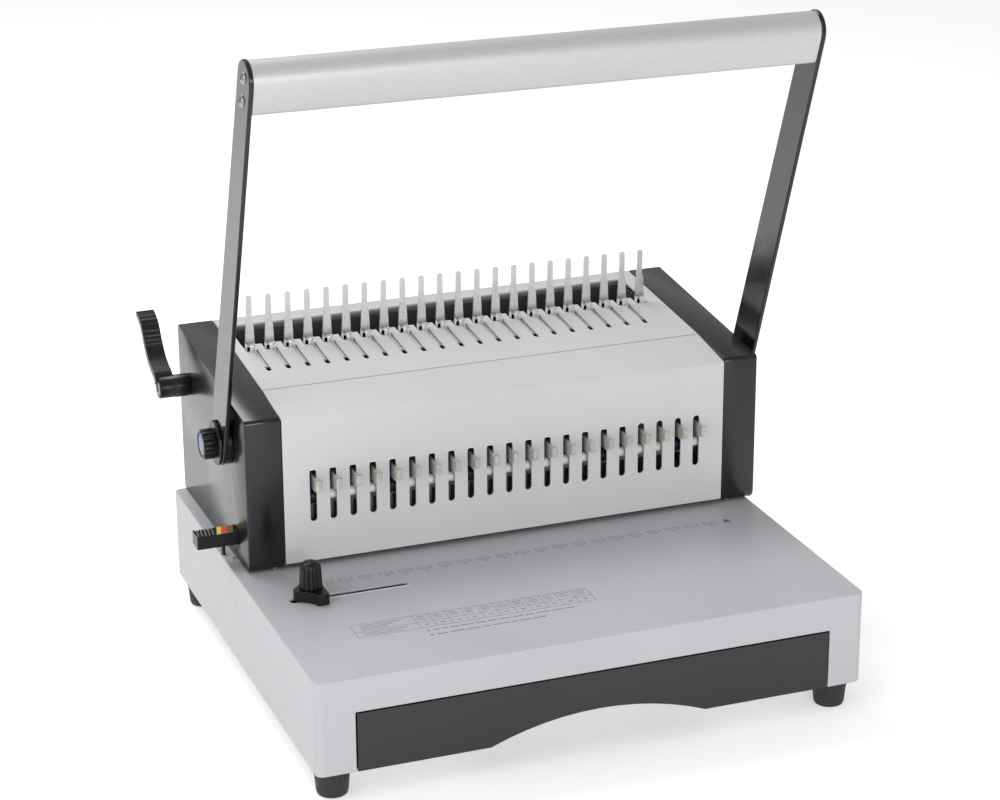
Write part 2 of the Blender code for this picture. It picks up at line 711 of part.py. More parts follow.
def make_depth_stop_bar():
    """The paper's rear stop in the throat, with the pin that the slider's slot steers."""
    low, high = 0.0004, 0.0039
    bm = bmesh.new()
    left, right, front, rear = STOP_PIN_X - 0.004, 0.160, 0.0220, 0.0260
    add_box(bm, (left, front, low), (right, rear, high))
    bar = place_mesh("depth_stop_bar", bm, (STOP_PIN_X, STOP_PIN_Y, low), "dull_steel")
    ear = bmesh.new()
    ear_front, ear_rear = rear - 0.002, STOP_PIN_Y + 0.0025
    add_box(ear, (left, ear_front, low), (STOP_PIN_X + 0.0035, ear_rear, high))
    weld_on(bar, ear)
    pin = bmesh.new()
    add_cylinder(
        pin,
        (STOP_PIN_X, STOP_PIN_Y, high - 0.001),
        (STOP_PIN_X, STOP_PIN_Y, SLIDER_LOW + 0.0050),
        STOP_PIN_RADIUS,
        steps=12,
    )
    weld_on(bar, pin)


# --- Housing --------------------------------------------------------------------------
def make_cover():
    """A bent sheet: front, sloping top with slots and a trough opening, and rear."""
    rear = HOUSING_DEPTH
    outer = [(0, COVER_BOTTOM), (0, COVER_FRONT_TOP - 0.0012)]
    outer += [(0.0003, COVER_FRONT_TOP - 0.0004), (0.0012, COVER_FRONT_TOP)]
    outer += [(CREASE_Y, CREASE_Z), (rear - 0.0012, cover_top(rear - 0.0012))]
    outer += [(rear - 0.0003, COVER_REAR_TOP - 0.0005), (rear, COVER_REAR_TOP - 0.0013)]
    outer += [(rear, FIT_GAP)]
    inner = [(rear - SHEET, FIT_GAP), (rear - SHEET, COVER_REAR_TOP - 0.0014)]
    inner += [(CREASE_Y, CREASE_Z - SHEET), (SHEET, COVER_FRONT_TOP - SHEET)]
    inner += [(SHEET, COVER_BOTTOM)]
    bm = prism([outer + inner], "YZ", -COVER_HALF_WIDTH, COVER_HALF_WIDTH)
    cover = place_mesh("cover", bm)

    front_slots = bmesh.new()
    reach = FRONT_SLOT_WIDTH / 2
    for index in range(TOOTH_COUNT):
        x = tooth_x(index)
        slot = arc((x, FRONT_SLOT_LOW + reach), reach, 180, 360, 6)
        slot += arc((x, FRONT_SLOT_HIGH - reach), reach, 0, 180, 6)
        add_prism(front_slots, [slot], "XZ", -0.005, 0.005)
    carve(cover, front_slots)

    top_low, top_high = 0.105, 0.140
    reach = TOP_SLOT_WIDTH / 2
    outline = [(TROUGH_LEFT, TROUGH_REAR), (TROUGH_LEFT, TROUGH_FRONT)]
    for index in range(FINGER_COUNT):
        shift = index * COMB_PITCH
        left, right = NOTCH_FIRST_X[0] + shift, NOTCH_FIRST_X[1] + shift
        x = TOP_SLOT_FIRST_X + shift
        outline += [(left, TROUGH_FRONT), (left, NOTCH_FRONT)]
        if index < TOOTH_COUNT:
            outline += [(x - reach, NOTCH_FRONT)]
            outline += arc((x, TOP_SLOT_FRONT + reach), reach, 180, 360, 6)
            outline += [(x + reach, NOTCH_FRONT - 0.0005)]
        outline += [(right, NOTCH_FRONT), (right, TROUGH_FRONT)]
    outline += [(right, TROUGH_REAR)]
    carve(cover, prism([outline], "XY", top_low, top_high))


def cap_outline(inset):
    """An end cap's side, as (y, z), from the bottom rear round to the bottom front."""
    front, rear = inset, HOUSING_DEPTH - inset
    low = FIT_GAP if inset == 0 else -0.01
    foot_radius = 0.007
    edge = 0.003 if inset == 0 else 0.001
    points = [(rear, low)]
    points += arc((rear - edge, cap_top(rear) - inset - edge), edge, 0, 85, 3)
    points += arc((front + edge, cap_top(front) - inset - edge), edge, 95, 180, 3)
    if inset == 0:
        points += arc((front + foot_radius, low + foot_radius), foot_radius, 180, 270, 4)
    else:
        points += [(front, low)]
    return points


def make_end_cap(name, side):
    low, high = sorted((side * CAP_INNER, side * CAP_OUTER))
    cap = place_mesh(name, prism([cap_outline(0)], "YZ", low, high), finish="anthracite")
    round_edges(cap, 0.0012)
    hollow_low, hollow_high = sorted((side * (CAP_INNER - 0.01), side * (CAP_OUTER - CAP_WALL)))
    carve(cap, prism([cap_outline(CAP_WALL)], "YZ", hollow_low, hollow_high))
    holes = bmesh.new()
    inside, outside = side * (CAP_OUTER - 0.006), side * (CAP_OUTER + 0.006)
    add_cylinder(
        holes, (inside, PIVOT_Y, PIVOT_Z), (outside, PIVOT_Y, PIVOT_Z), SHAFT_RADIUS + 0.0005
    )
    if side < 0:
        add_cylinder(
            holes,
            (inside, LEVER_Y, LEVER_Z),
            (outside, LEVER_Y, LEVER_Z),
            LEVER_SHAFT_RADIUS + 0.0005,
            steps=16,
        )
        clear = 0.0004
        add_box(
            holes,
            (outside, SLIDER_FRONT - clear, SLIDER_LOW - clear),
            (inside, SLIDER_REAR + clear, SLIDER_HIGH + clear),
        )
    carve(cap, holes)


def make_side_frame(name, side):
    """The steel plate inside an end cap that carries both shafts and the punch guide."""
    top_gap = 0.0055
    front, rear = 0.004, 0.168
    outline = [(front, FIT_GAP), (front, cap_top(front) - top_gap)]
    outline += [(rear, cap_top(rear) - top_gap), (rear, FIT_GAP)]
    if side < 0:
        notch_front, notch_rear, notch_top = 0.0160, 0.0290, 0.0060
        outline += [(notch_rear, FIT_GAP), (notch_rear, notch_top)]
        outline += [(notch_front, notch_top), (notch_front, FIT_GAP)]
    window_centre, window_radius = (0.095, 0.055), 0.020
    holes = [circle((PIVOT_Y, PIVOT_Z), SHAFT_RADIUS + FIT_GAP)]
    holes += [circle((LEVER_Y, LEVER_Z), LEVER_SHAFT_RADIUS + FIT_GAP, 16)]
    holes += [circle(window_centre, window_radius)]
    if side < 0:
        clear = 0.001
        low = (SLIDER_FRONT - clear, SLIDER_LOW - clear)
        holes += [rectangle(low, (SLIDER_REAR + clear, SLIDER_HIGH + clear))]
    low, high = sorted((side * FRAME_INNER, side * FRAME_OUTER))
    place_mesh(name, prism([outline, *holes], "YZ", low, high), finish="dull_steel")


def make_comb_trough():
    top = cover_top(TROUGH_FRONT) - SHEET - FIT_GAP - 0.0004
    low, high = TROUGH_FLOOR - SHEET, top
    bm = bmesh.new()
    add_box(
        bm,
        (TROUGH_LEFT - SHEET, TROUGH_FRONT - SHEET, low),
        (TROUGH_RIGHT + SHEET, TROUGH_REAR + SHEET, high),
    )
    trough = place_mesh("comb_trough", bm, finish="black_plastic")
    inside = bmesh.new()
    add_box(
        inside,
        (TROUGH_LEFT, TROUGH_FRONT, TROUGH_FLOOR),
        (TROUGH_RIGHT, TROUGH_REAR, high + 0.01),
    )
    carve(trough, inside)


# --- Comb opener ----------------------------------------------------------------------
def finger_plate_outline():
    """The upright comb of fingers, as (x, z): one bar under the cover and 22 fingers."""
    bar_low, bar_high = 0.0980, 0.1185
    bar_left, bar_right = -0.1575, 0.1545
    tip, shoulder = 0.1613, 0.1475
    points = [(bar_left, bar_low), (bar_left, bar_high)]
    for index in range(FINGER_COUNT):
        x = FINGER_FIRST_X + index * COMB_PITCH
        points += [(x - 0.00345, bar_high), (x - 0.0031, 0.1440)]
        points += [(x - 0.0020, tip - 0.0020)]
        points += arc((x, tip - 0.0017), 0.0017, 150, 30, 3)
        points += [(x + 0.0018, shoulder + 0.0035), (x + 0.0031, shoulder)]
        points += [(x + 0.00345, bar_high)]
    points += [(bar_right, bar_high), (bar_right, bar_low)]
    return points


def make_finger_plate():
    bm = prism([finger_plate_outline()], "XZ", FINGER_FRONT, FINGER_REAR)
    place_mesh("finger_plate", bm, (0, FINGER_FRONT, 0.098), "bright_steel")


def on_slope(points):
    return [slope_point(along, above) for along, above in points]


def make_hook_plate():
    """The sliding comb opener: a slotted sheet under the cover, hooks and two fork flanges."""
    low, high = HOOK_PLATE_TOP - SHEET, HOOK_PLATE_TOP
    along_hook = (0.1125 - CREASE_Y) / math.cos(COVER_SLOPE)
    sheet_rear = along_hook + 0.0003
    sheet = on_slope(rectangle((HOOK_PLATE_FRONT, low), (sheet_rear, high)))
    lip = 0.0004
    bm = prism([sheet], "YZ", lip - FORK_OUTER, FORK_OUTER - lip)
    plate = place_mesh("hook_plate", bm, (0, *slope_point(HOOK_PLATE_FRONT, 0)), "bright_steel")

    flanges = bmesh.new()
    rest_pin = (
        LEVER_Y + CRANK_RADIUS * math.sin(math.pi / 4),
        LEVER_Z + CRANK_RADIUS * math.cos(math.pi / 4),
    )
    pin_along = (rest_pin[0] - CREASE_Y) * math.cos(COVER_SLOPE)
    pin_along += (rest_pin[1] - CREASE_Z) * math.sin(COVER_SLOPE)
    middle = pin_along + FORK_CENTRE_SHIFT
    prong, prong_low, web_low = 0.0040, -0.0260, -0.0085
    flange_front, flange_high = HOOK_PLATE_FRONT + lip, high - lip
    flange = [(flange_front, flange_high), (flange_front, web_low)]
    flange += [(middle - FORK_HALF_SLOT - prong, web_low)]
    flange += [(middle - FORK_HALF_SLOT - prong, prong_low)]
    flange += [(middle - FORK_HALF_SLOT, prong_low), (middle - FORK_HALF_SLOT, web_low)]
    flange += [(middle + FORK_HALF_SLOT, web_low), (middle + FORK_HALF_SLOT, prong_low)]
    flange += [(middle + FORK_HALF_SLOT + prong, prong_low)]
    flange += [(middle + FORK_HALF_SLOT + prong, flange_high)]
    for side in (-1, 1):
        inner, outer = sorted((side * FORK_INNER, side * FORK_OUTER))
        add_prism(flanges, [on_slope(flange)], "YZ", inner, outer)
    weld_on(plate, flanges)

    gaps = bmesh.new()
    gap_front = CREASE_Y + HOOK_PLATE_FRONT + 0.0015
    gap_rear = slope_point(sheet_rear, 0)[0] + 0.002
    gap_low, gap_high = CREASE_Z - 0.016, COVER_REAR_TOP + 0.013
    for index in range(TOOTH_COUNT):
        x = TOP_SLOT_FIRST_X + index * COMB_PITCH
        outline = rectangle((x + HOOK_GAP_LEFT, gap_front), (x + HOOK_GAP_RIGHT, gap_rear))
        add_prism(gaps, [outline], "XY", gap_low, gap_high)
    carve(plate, gaps)

    hooks = bmesh.new()
    hook = [(along_hook - 0.0030, low + 0.0003)]
    hook += [(along_hook - 0.0030, 0.0018)]
    hook += arc((along_hook - 0.0012, 0.0022), 0.0018, 160, 20, 4)
    hook += [(along_hook + 0.0010, 0.0010), (along_hook + 0.0008, low + 0.0003)]
    for index in range(TOOTH_COUNT):
        x = TOP_SLOT_FIRST_X + index * COMB_PITCH
        add_prism(hooks, [on_slope(hook)], "YZ", x - 0.0012, x + 0.0005)
    weld_on(plate, hooks)


def make_lever_shaft():
    centre = (LEVER_Y, LEVER_Z)
    end, stub_start, stub_end = 0.1745, -CAP_OUTER, -0.2090
    thick, thin = LEVER_SHAFT_RADIUS, LEVER_STUB_RADIUS
    profile = [(0, end), (thick, end), (thick, stub_start), (thin, stub_start)]
    profile += [(thin, stub_end), (0, stub_end)]
    shaft = turned("lever_shaft", profile, (0, *centre), True, "dull_steel", 16)
    cranks = bmesh.new()
    lean = math.pi / 4
    across, up = math.cos(lean), math.sin(lean)
    pin_centre = (LEVER_Y + CRANK_RADIUS * across, LEVER_Z + CRANK_RADIUS * up)
    hub_radius, pin_end_radius = 0.009, 0.005
    plate = arc(centre, hub_radius, 135, 315, 8)
    plate += arc(pin_centre, pin_end_radius, -45, 135, 6)
    for side in (-1, 1):
        low, high = sorted((side * CRANK_INNER, side * CRANK_OUTER))
        add_prism(cranks, [plate], "YZ", low, high)
    weld_on(shaft, cranks)
    pins = bmesh.new()
    for side in (-1, 1):
        start = (side * (FORK_INNER - 0.0009), *pin_centre)
        finish = (side * (CRANK_INNER + 0.0010), *pin_centre)
        add_cylinder(pins, start, finish, CRANK_PIN_RADIUS, steps=12)
    weld_on(shaft, pins)


def band(centre_line, half_width):
    """A strip of even width along a line of (y, z) points, smoothed, as one outline."""
    smooth = []
    padded = [centre_line[0], *centre_line, centre_line[-1]]
    for before, start, end, after in zip(padded, padded[1:], padded[2:], padded[3:]):
        for step in range(3):
            t = step / 3
            smooth.append(
                tuple(
                    0.5
                    * (
                        2 * b
                        + (c - a) * t
                        + (2 * a - 5 * b + 4 * c - d) * t**2
                        + (3 * b - a - 3 * c + d) * t**3
                    )
                    for a, b, c, d in zip(before, start, end, after)
                )
            )
    smooth.append(centre_line[-1])
    upper, lower = [], []
    for index, point in enumerate(smooth):
        ahead = Vector(smooth[min(index + 1, len(smooth) - 1)])
        behind = Vector(smooth[max(index - 1, 0)])
        run = (ahead - behind).normalized()
        normal = Vector((-run.y, run.x)) * half_width
        upper.append(tuple(Vector(point) + normal))
        lower.append(tuple(Vector(point) - normal))
    return upper + lower[::-1]


def make_comb_lever():
    centre = (LEVER_Y, LEVER_Z)
    boss_radius, bore = 0.0079, LEVER_STUB_RADIUS + FIT_GAP
    boss_end = -0.2125
    strip_inner, strip_outer = -0.201, -0.214
    line = [(0.1480, 0.0935), (0.1520, 0.0975), (0.1590, 0.0998), (0.1695, 0.1052)]
    line += [(0.1778, 0.1140), (0.1865, 0.1250), (0.1990, 0.1305)]
    bm = prism([band(line, 0.0027)], "YZ", strip_outer, strip_inner)
    lever = place_mesh("comb_lever", bm, (-CAP_OUTER, *centre), "anthracite")
    round_edges(lever, 0.0008, 1)
    boss = bmesh.new()
    add_cylinder(
        boss, (boss_end, *centre), (-CAP_OUTER - FIT_GAP, *centre), boss_radius, steps=28
    )
    weld_on(lever, boss)
    hole = bmesh.new()
    ends = (boss_end - CUT_REACH, *centre), (-CAP_OUTER + CUT_REACH, *centre)
    add_cylinder(hole, *ends, bore, steps=20)
    carve(lever, hole)


# --- Handle ---------------------------------------------------------------------------
def make_arm(name, side):
    outline = arc((0, 0), ARM_ROOT_RADIUS, 182, 358, 12)
    outline += arc((0, ARM_LENGTH), ARM_TIP_RADIUS, 0, 180, 12)
    hole = [handle_point(*point) for point in circle((0, 0), STUB_RADIUS + FIT_GAP, 16)]
    leaning = [handle_point(*point) for point in outline]
    low, high = sorted((side * ARM_INNER, side * ARM_OUTER))
    bm = prism([leaning, hole], "YZ", low, high)
    arm = place_mesh(name, bm, (side * ARM_INNER, PIVOT_Y, PIVOT_Z), "anthracite")
    round_edges(arm, 0.0006, 1)


def grip_outline(inset):
    """The grip's section, as (y, z): a round top and a flat lower edge with small corners."""
    half, low, corner = GRIP_HALF_THICKNESS - inset, GRIP_LOW + inset, GRIP_CORNER - inset
    outline = arc((half - corner, low + corner), corner, -90, 0, 3)
    outline += arc((0, ARM_LENGTH), half, 0, 180, 14)
    outline += arc((-half + corner, low + corner), corner, 180, 270, 3)
    return [handle_point(*point) for point in outline]


def make_grip():
    """A hollow extrusion between the arms."""
    reach = ARM_INNER - FIT_GAP
    bm = prism([grip_outline(0), grip_outline(GRIP_WALL)], "YZ", -reach, reach)
    place_mesh("grip", bm, (0, PIVOT_Y, PIVOT_Z), "grip_grey")


def make_main_shaft():
    shoulder = ARM_INNER - FIT_GAP
    profile = [(0, STUB_END), (STUB_RADIUS, STUB_END), (STUB_RADIUS, shoulder)]
    profile += [(SHAFT_RADIUS, shoulder), (SHAFT_RADIUS, -shoulder), (STUB_RADIUS, -shoulder)]
    profile += [(STUB_RADIUS, -STUB_END), (0, -STUB_END)]
    turned("main_shaft", profile, (0, PIVOT_Y, PIVOT_Z), True, "dull_steel")


def ring(name, side, start, end, outer, inner, finish):
    low, high = sorted((side * start, side * end))
    loops = [circle((PIVOT_Y, PIVOT_Z), outer, 32), circle((PIVOT_Y, PIVOT_Z), inner)]
    place_mesh(name, prism(loops, "YZ", low, high), (side * start, PIVOT_Y, PIVOT_Z), finish)


def make_pivot_stack(side_name, side):
    """Spacer, washer, knob and pinion on one end of the main shaft."""
    ring(
        f"{side_name}_spacer",
        side,
        CAP_OUTER + FIT_GAP,
        ARM_INNER - FIT_GAP,
        SPACER_RADIUS,
        SHAFT_RADIUS + FIT_GAP,
        "black_plastic",
    )
    ring(
        f"{side_name}_washer",
        side,
        ARM_OUTER + FIT_GAP,
        STUB_END - FIT_GAP,
        WASHER_RADIUS,
        STUB_RADIUS + FIT_GAP,
        "black_plastic",
    )
    start = STUB_END + FIT_GAP
    end = LEFT_KNOB_END if side < 0 else RIGHT_KNOB_END
    low, high = sorted((side * start, side * end))
    flutes = fluted_circle((PIVOT_Y, PIVOT_Z), KNOB_RADIUS, KNOB_FLUTE, KNOB_FLUTES)
    bm = prism([flutes], "YZ", low, high)
    place_mesh(f"{side_name}_pivot_knob", bm, (side * start, PIVOT_Y, PIVOT_Z), "black_plastic")

    low, high = sorted((side * PINION_INNER, side * PINION_OUTER))
    loops = [pinion_outline(), circle((PIVOT_Y, PIVOT_Z), SHAFT_RADIUS + FIT_GAP)]
    bm = prism(loops, "YZ", low, high)
    place_mesh(f"{side_name}_pinion", bm, (side * PINION_INNER, PIVOT_Y, PIVOT_Z), "dull_steel")


def make_return_spring():
    """A torsion spring round the main shaft that lifts the handle back up."""
    wire, coil_radius = 0.0011, 0.0112
    turns, points_per_turn = 5, 12
    start_x, coil_pitch = -0.142, 0.0034
    curve = bpy.data.curves.new("return_spring", "CURVE")
    curve.dimensions = "3D"
    curve.bevel_depth = wire
    curve.bevel_resolution = 1
    curve.use_fill_caps = True
    spline = curve.splines.new("POLY")
    count = turns * points_per_turn + 1
    spline.points.add(count + 1)
    leg = 0.016
    places = [(start_x, coil_radius, -leg)]
    for index in range(count):
        turn = 2 * math.pi * index / points_per_turn
        x = start_x + coil_pitch * index / points_per_turn
        places.append((x, coil_radius * math.cos(turn), coil_radius * math.sin(turn)))
    places.append((places[-1][0], coil_radius, leg))
    for point, (x, y, z) in zip(spline.points, places):
        point.co = (x, y, z, 1)
    spring = bpy.data.objects.new("return_spring", curve)
    spring.location = (0, PIVOT_Y, PIVOT_Z)
    spring.parent = machine
    parts.objects.link(spring)
    paint(spring, "bright_steel")


# --- Assembly -------------------------------------------------------------------------
def build():
    make_base_shell()
    make_bottom_plate()
    make_feet()
    make_chip_tray()
    make_edge_guide()
    make_die_plate()
    make_punch_guide()
    make_punch_carriage()
    make_pressure_bar()
    make_pull_tabs()
    make_margin_slider()
    make_depth_stop_bar()
    make_cover()
    make_end_cap("left_end_cap", -1)
    make_end_cap("right_end_cap", 1)
    make_side_frame("left_side_frame", -1)
    make_side_frame("right_side_frame", 1)
    make_comb_trough()
    make_finger_plate()
    make_hook_plate()
    make_lever_shaft()
    make_comb_lever()
    make_arm("left_arm", -1)
    make_arm("right_arm", 1)
    make_grip()
    make_main_shaft()
    make_pivot_stack("left", -1)
    make_pivot_stack("right", 1)
    make_return_spring()


build()
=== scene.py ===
"""Looks of the comb binding machine: materials, finer pieces, light and camera.

All sizes are metres. Pieces are drawn in machine coordinates: X from the middle comb tooth
to the right, Y from the housing's front face to the rear, Z from the base's top upward.
"""

import json
import math
import random

import bmesh
import bpy
from mathutils import Matrix, Vector


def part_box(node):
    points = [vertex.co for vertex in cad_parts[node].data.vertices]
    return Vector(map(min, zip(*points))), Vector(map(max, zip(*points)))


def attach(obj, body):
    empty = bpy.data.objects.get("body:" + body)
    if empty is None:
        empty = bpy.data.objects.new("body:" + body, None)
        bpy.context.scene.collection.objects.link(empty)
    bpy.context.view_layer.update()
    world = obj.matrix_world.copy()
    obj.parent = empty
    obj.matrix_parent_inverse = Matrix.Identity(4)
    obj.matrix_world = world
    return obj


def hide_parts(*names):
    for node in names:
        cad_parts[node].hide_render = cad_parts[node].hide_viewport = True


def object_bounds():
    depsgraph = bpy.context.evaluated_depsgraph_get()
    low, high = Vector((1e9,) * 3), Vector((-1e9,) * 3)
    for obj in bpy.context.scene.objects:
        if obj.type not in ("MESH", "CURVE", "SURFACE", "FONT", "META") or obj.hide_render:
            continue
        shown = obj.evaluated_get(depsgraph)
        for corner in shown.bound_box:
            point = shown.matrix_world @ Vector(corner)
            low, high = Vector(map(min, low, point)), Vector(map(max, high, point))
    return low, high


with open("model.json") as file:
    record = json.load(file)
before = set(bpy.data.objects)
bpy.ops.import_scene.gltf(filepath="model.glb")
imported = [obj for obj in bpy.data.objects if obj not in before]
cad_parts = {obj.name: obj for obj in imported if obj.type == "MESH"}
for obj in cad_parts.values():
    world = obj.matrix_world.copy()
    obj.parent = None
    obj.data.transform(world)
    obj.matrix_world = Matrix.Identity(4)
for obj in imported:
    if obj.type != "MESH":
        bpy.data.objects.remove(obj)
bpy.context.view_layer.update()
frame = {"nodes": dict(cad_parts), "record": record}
random.seed(7)

scene = bpy.context.scene
nodes = frame["nodes"]
record = frame["record"]
joint_at = {joint["name"]: joint.get("pos_m") for joint in record["behaviour"]["joints"]}
base_top = [m["pos_m"] for m in record["mounts"] if m["name"] == "base_top_rest"][0]

# --- Where the machine stands in the frame ----------------------------------------------
MACHINE = Vector((base_top[0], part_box("cover")[0].y, base_top[2]))
COMB_PITCH = 0.0142875
TOOTH_COUNT = 21
FINGER_COUNT = 22
HAIR = 0.00006  # how far print stands above the paint
FOOT_TOP = 0.1262
# Heights between which the finger blades get a band of painted shade just above the foot.
PAINTED_SHADE_LOW, PAINTED_SHADE_TOP = FOOT_TOP + 0.0008, FOOT_TOP + 0.0046


def machine_box(node):
    """A node's lowest and highest corners in machine coordinates."""
    low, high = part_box(node)
    return low - MACHINE, high - MACHINE


def machine_point(place):
    return Vector(place) - MACHINE


cover_low, cover_high = machine_box("cover")
pivot = machine_point(joint_at["handle_pull"])
lever_axis = machine_point(joint_at["comb_lever_pull"])
guide_axis = machine_point(joint_at["guide_knob_turn"])


# --- Node materials ---------------------------------------------------------------------
class Look:
    """A Principled material whose colour, roughness and bump take procedural detail."""

    def __init__(self, name, colour, roughness, metallic=0.0, ior=1.5, coat=0.0):
        self.material = bpy.data.materials.new(name)
        self.material.use_nodes = True
        self.tree = self.material.node_tree
        self.shader = self.tree.nodes["Principled BSDF"]
        self.shader.inputs["Base Color"].default_value = (*colour, 1)
        self.shader.inputs["Roughness"].default_value = roughness
        self.shader.inputs["Metallic"].default_value = metallic
        self.shader.inputs["IOR"].default_value = ior
        self.shader.inputs["Coat Weight"].default_value = coat
        self.coords = self.tree.nodes.new("ShaderNodeTexCoord")
        self.colour = colour
        self.last_bump = None

    def noise(self, scale, detail=3.0, stretch=(1, 1, 1), rough=0.55):
        mapping = self.tree.nodes.new("ShaderNodeMapping")
        mapping.inputs["Scale"].default_value = stretch
        texture = self.tree.nodes.new("ShaderNodeTexNoise")
        texture.inputs["Scale"].default_value = scale
        texture.inputs["Detail"].default_value = detail
        texture.inputs["Roughness"].default_value = rough
        self.tree.links.new(self.coords.outputs["Object"], mapping.inputs["Vector"])
        self.tree.links.new(mapping.outputs["Vector"], texture.inputs["Vector"])
        return texture.outputs["Fac"]

    def cells(self, scale):
        texture = self.tree.nodes.new("ShaderNodeTexVoronoi")
        texture.inputs["Scale"].default_value = scale
        self.tree.links.new(self.coords.outputs["Object"], texture.inputs["Vector"])
        return texture.outputs["Distance"]

    def spread(self, factor, low, high, start=0.3, end=0.7):
        ranged = self.tree.nodes.new("ShaderNodeMapRange")
        ranged.inputs["From Min"].default_value = start
        ranged.inputs["From Max"].default_value = end
        ranged.inputs["To Min"].default_value = low
        ranged.inputs["To Max"].default_value = high
        self.tree.links.new(factor, ranged.inputs["Value"])
        return ranged.outputs["Result"]

    def tint(self, factor, low, high, start=0.3, end=0.7):
        """Scales the colour so far by a factor between low and high."""
        mix = self.tree.nodes.new("ShaderNodeMix")
        mix.data_type = "RGBA"
        mix.blend_type = "MULTIPLY"
        mix.inputs[0].default_value = 1.0
        source = self.shader.inputs["Base Color"]
        if source.links:
            self.tree.links.new(source.links[0].from_socket, mix.inputs[6])
        else:
            mix.inputs[6].default_value = (*self.colour, 1)
        self.tree.links.new(self.spread(factor, low, high, start, end), mix.inputs[7])
        self.tree.links.new(mix.outputs[2], source)

    def stain(self, factor, colour, start, end, most=1.0):
        """Mixes in a second colour where the factor is high."""
        mix = self.tree.nodes.new("ShaderNodeMix")
        mix.data_type = "RGBA"
        source = self.shader.inputs["Base Color"]
        if source.links:
            self.tree.links.new(source.links[0].from_socket, mix.inputs[6])
        else:
            mix.inputs[6].default_value = (*self.colour, 1)
        mix.inputs[7].default_value = (*colour, 1)
        self.tree.links.new(self.spread(factor, 0.0, most, start, end), mix.inputs[0])
        self.tree.links.new(mix.outputs[2], source)

    def roughen(self, factor, low, high, start=0.3, end=0.7):
        self.tree.links.new(
            self.spread(factor, low, high, start, end), self.shader.inputs["Roughness"]
        )

    def bump(self, factor, depth, strength=1.0):
        node = self.tree.nodes.new("ShaderNodeBump")
        node.inputs["Distance"].default_value = depth
        node.inputs["Strength"].default_value = strength
        self.tree.links.new(factor, node.inputs["Height"])
        if self.last_bump:
            self.tree.links.new(self.last_bump.outputs["Normal"], node.inputs["Normal"])
        self.tree.links.new(node.outputs["Normal"], self.shader.inputs["Normal"])
        self.last_bump = node


def powder_paint(name, colour):
    """Pale metallic powder coat: fine flakes, faint clouding and orange peel."""
    look = Look(name, colour, 0.44)
    look.tint(look.noise(7.0, 2.0), 0.97, 1.03)
    look.tint(look.noise(2400.0, 2.0), 0.90, 1.08)
    look.stain(look.cells(1500.0), (0.75, 0.76, 0.78), 0.10, 0.0, 0.30)
    look.roughen(look.noise(420.0), 0.36, 0.48)
    look.bump(look.noise(900.0, 2.0), 0.00006, 0.5)
    return look.material


def gloss_anthracite():
    """Dark lacquer: almost smooth, with faint orange peel and streaky haze."""
    look = Look("gloss_anthracite", (0.0065, 0.0067, 0.0078), 0.14)
    look.tint(look.noise(30.0, 3.0), 0.9, 1.15)
    look.tint(look.noise(1900.0, 2.0), 0.8, 1.3)
    look.roughen(look.noise(55.0, 6.0, (1, 1, 5)), 0.11, 0.19)
    look.bump(look.noise(260.0, 2.0), 0.00003, 0.35)
    look.bump(look.noise(2600.0, 1.0), 0.00001, 0.3)
    return look.material


def satin_anthracite():
    """The end caps' dark lacquer: nearly the arms' colour, with a softer sheen."""
    look = Look("satin_anthracite", (0.0060, 0.0062, 0.0074), 0.24)
    look.tint(look.noise(30.0, 3.0), 0.9, 1.15)
    look.tint(look.noise(1900.0, 2.0), 0.8, 1.3)
    look.roughen(look.noise(240.0, 2.0), 0.225, 0.255)
    look.bump(look.noise(2600.0, 1.0), 0.00001, 0.25)
    return look.material


def tray_paint():
    """The drawer's dark paint, less glossy than the lacquer."""
    look = Look("tray_dark_paint", (0.012, 0.0123, 0.0145), 0.40)
    look.tint(look.noise(9.0, 2.0), 0.92, 1.08)
    look.tint(look.noise(2200.0, 2.0), 0.75, 1.3)
    look.roughen(look.noise(180.0), 0.30, 0.42)
    look.bump(look.noise(1100.0, 2.0), 0.00005, 0.5)
    return look.material


def anodised_grip():
    """Satin silver: drawn along the grip, with fine streaks and handling marks."""
    look = Look("satin_silver_grip", (0.52, 0.525, 0.535), 0.42, 0.35)
    look.tint(look.noise(900.0, 3.0, (0.2, 1, 1)), 0.96, 1.04)
    look.tint(look.noise(14.0, 3.0, (0.4, 1, 1)), 0.97, 1.03)
    look.roughen(look.noise(500.0, 3.0, (0.3, 1, 1)), 0.42, 0.49)
    look.bump(look.noise(1500.0, 2.0, (0.3, 1, 1)), 0.00003, 0.3)
    return look.material


def moulded_black():
    """Black moulded plastic with a spark-eroded grain and faint paler specks."""
    look = Look("moulded_black", (0.0065, 0.0065, 0.0075), 0.30)
    look.shader.inputs["Specular IOR Level"].default_value = 0.3
    look.tint(look.noise(60.0, 3.0), 0.85, 1.2)
    look.stain(look.noise(1700.0, 3.0), (0.022, 0.022, 0.024), 0.64, 0.80, 0.4)
    look.roughen(look.noise(500.0), 0.24, 0.38)
    look.bump(look.noise(1600.0, 3.0), 0.00005, 0.4)
    return look.material


def trough_black():
    """The trough: flat dark colour that is painted shade inside the trough, with a little dust."""
    # Painted shade: the trough's dark colour stands in for the shade inside it.
    look = Look("trough_painted_shade", (0.036, 0.035, 0.029), 0.62)
    look.tint(look.noise(40.0, 4.0), 0.8, 1.25)
    look.stain(look.noise(210.0, 5.0), (0.07, 0.068, 0.06), 0.58, 0.80, 0.5)
    look.roughen(look.noise(300.0), 0.5, 0.7)
    look.bump(look.noise(1200.0, 2.0), 0.00006, 0.5)
    return look.material


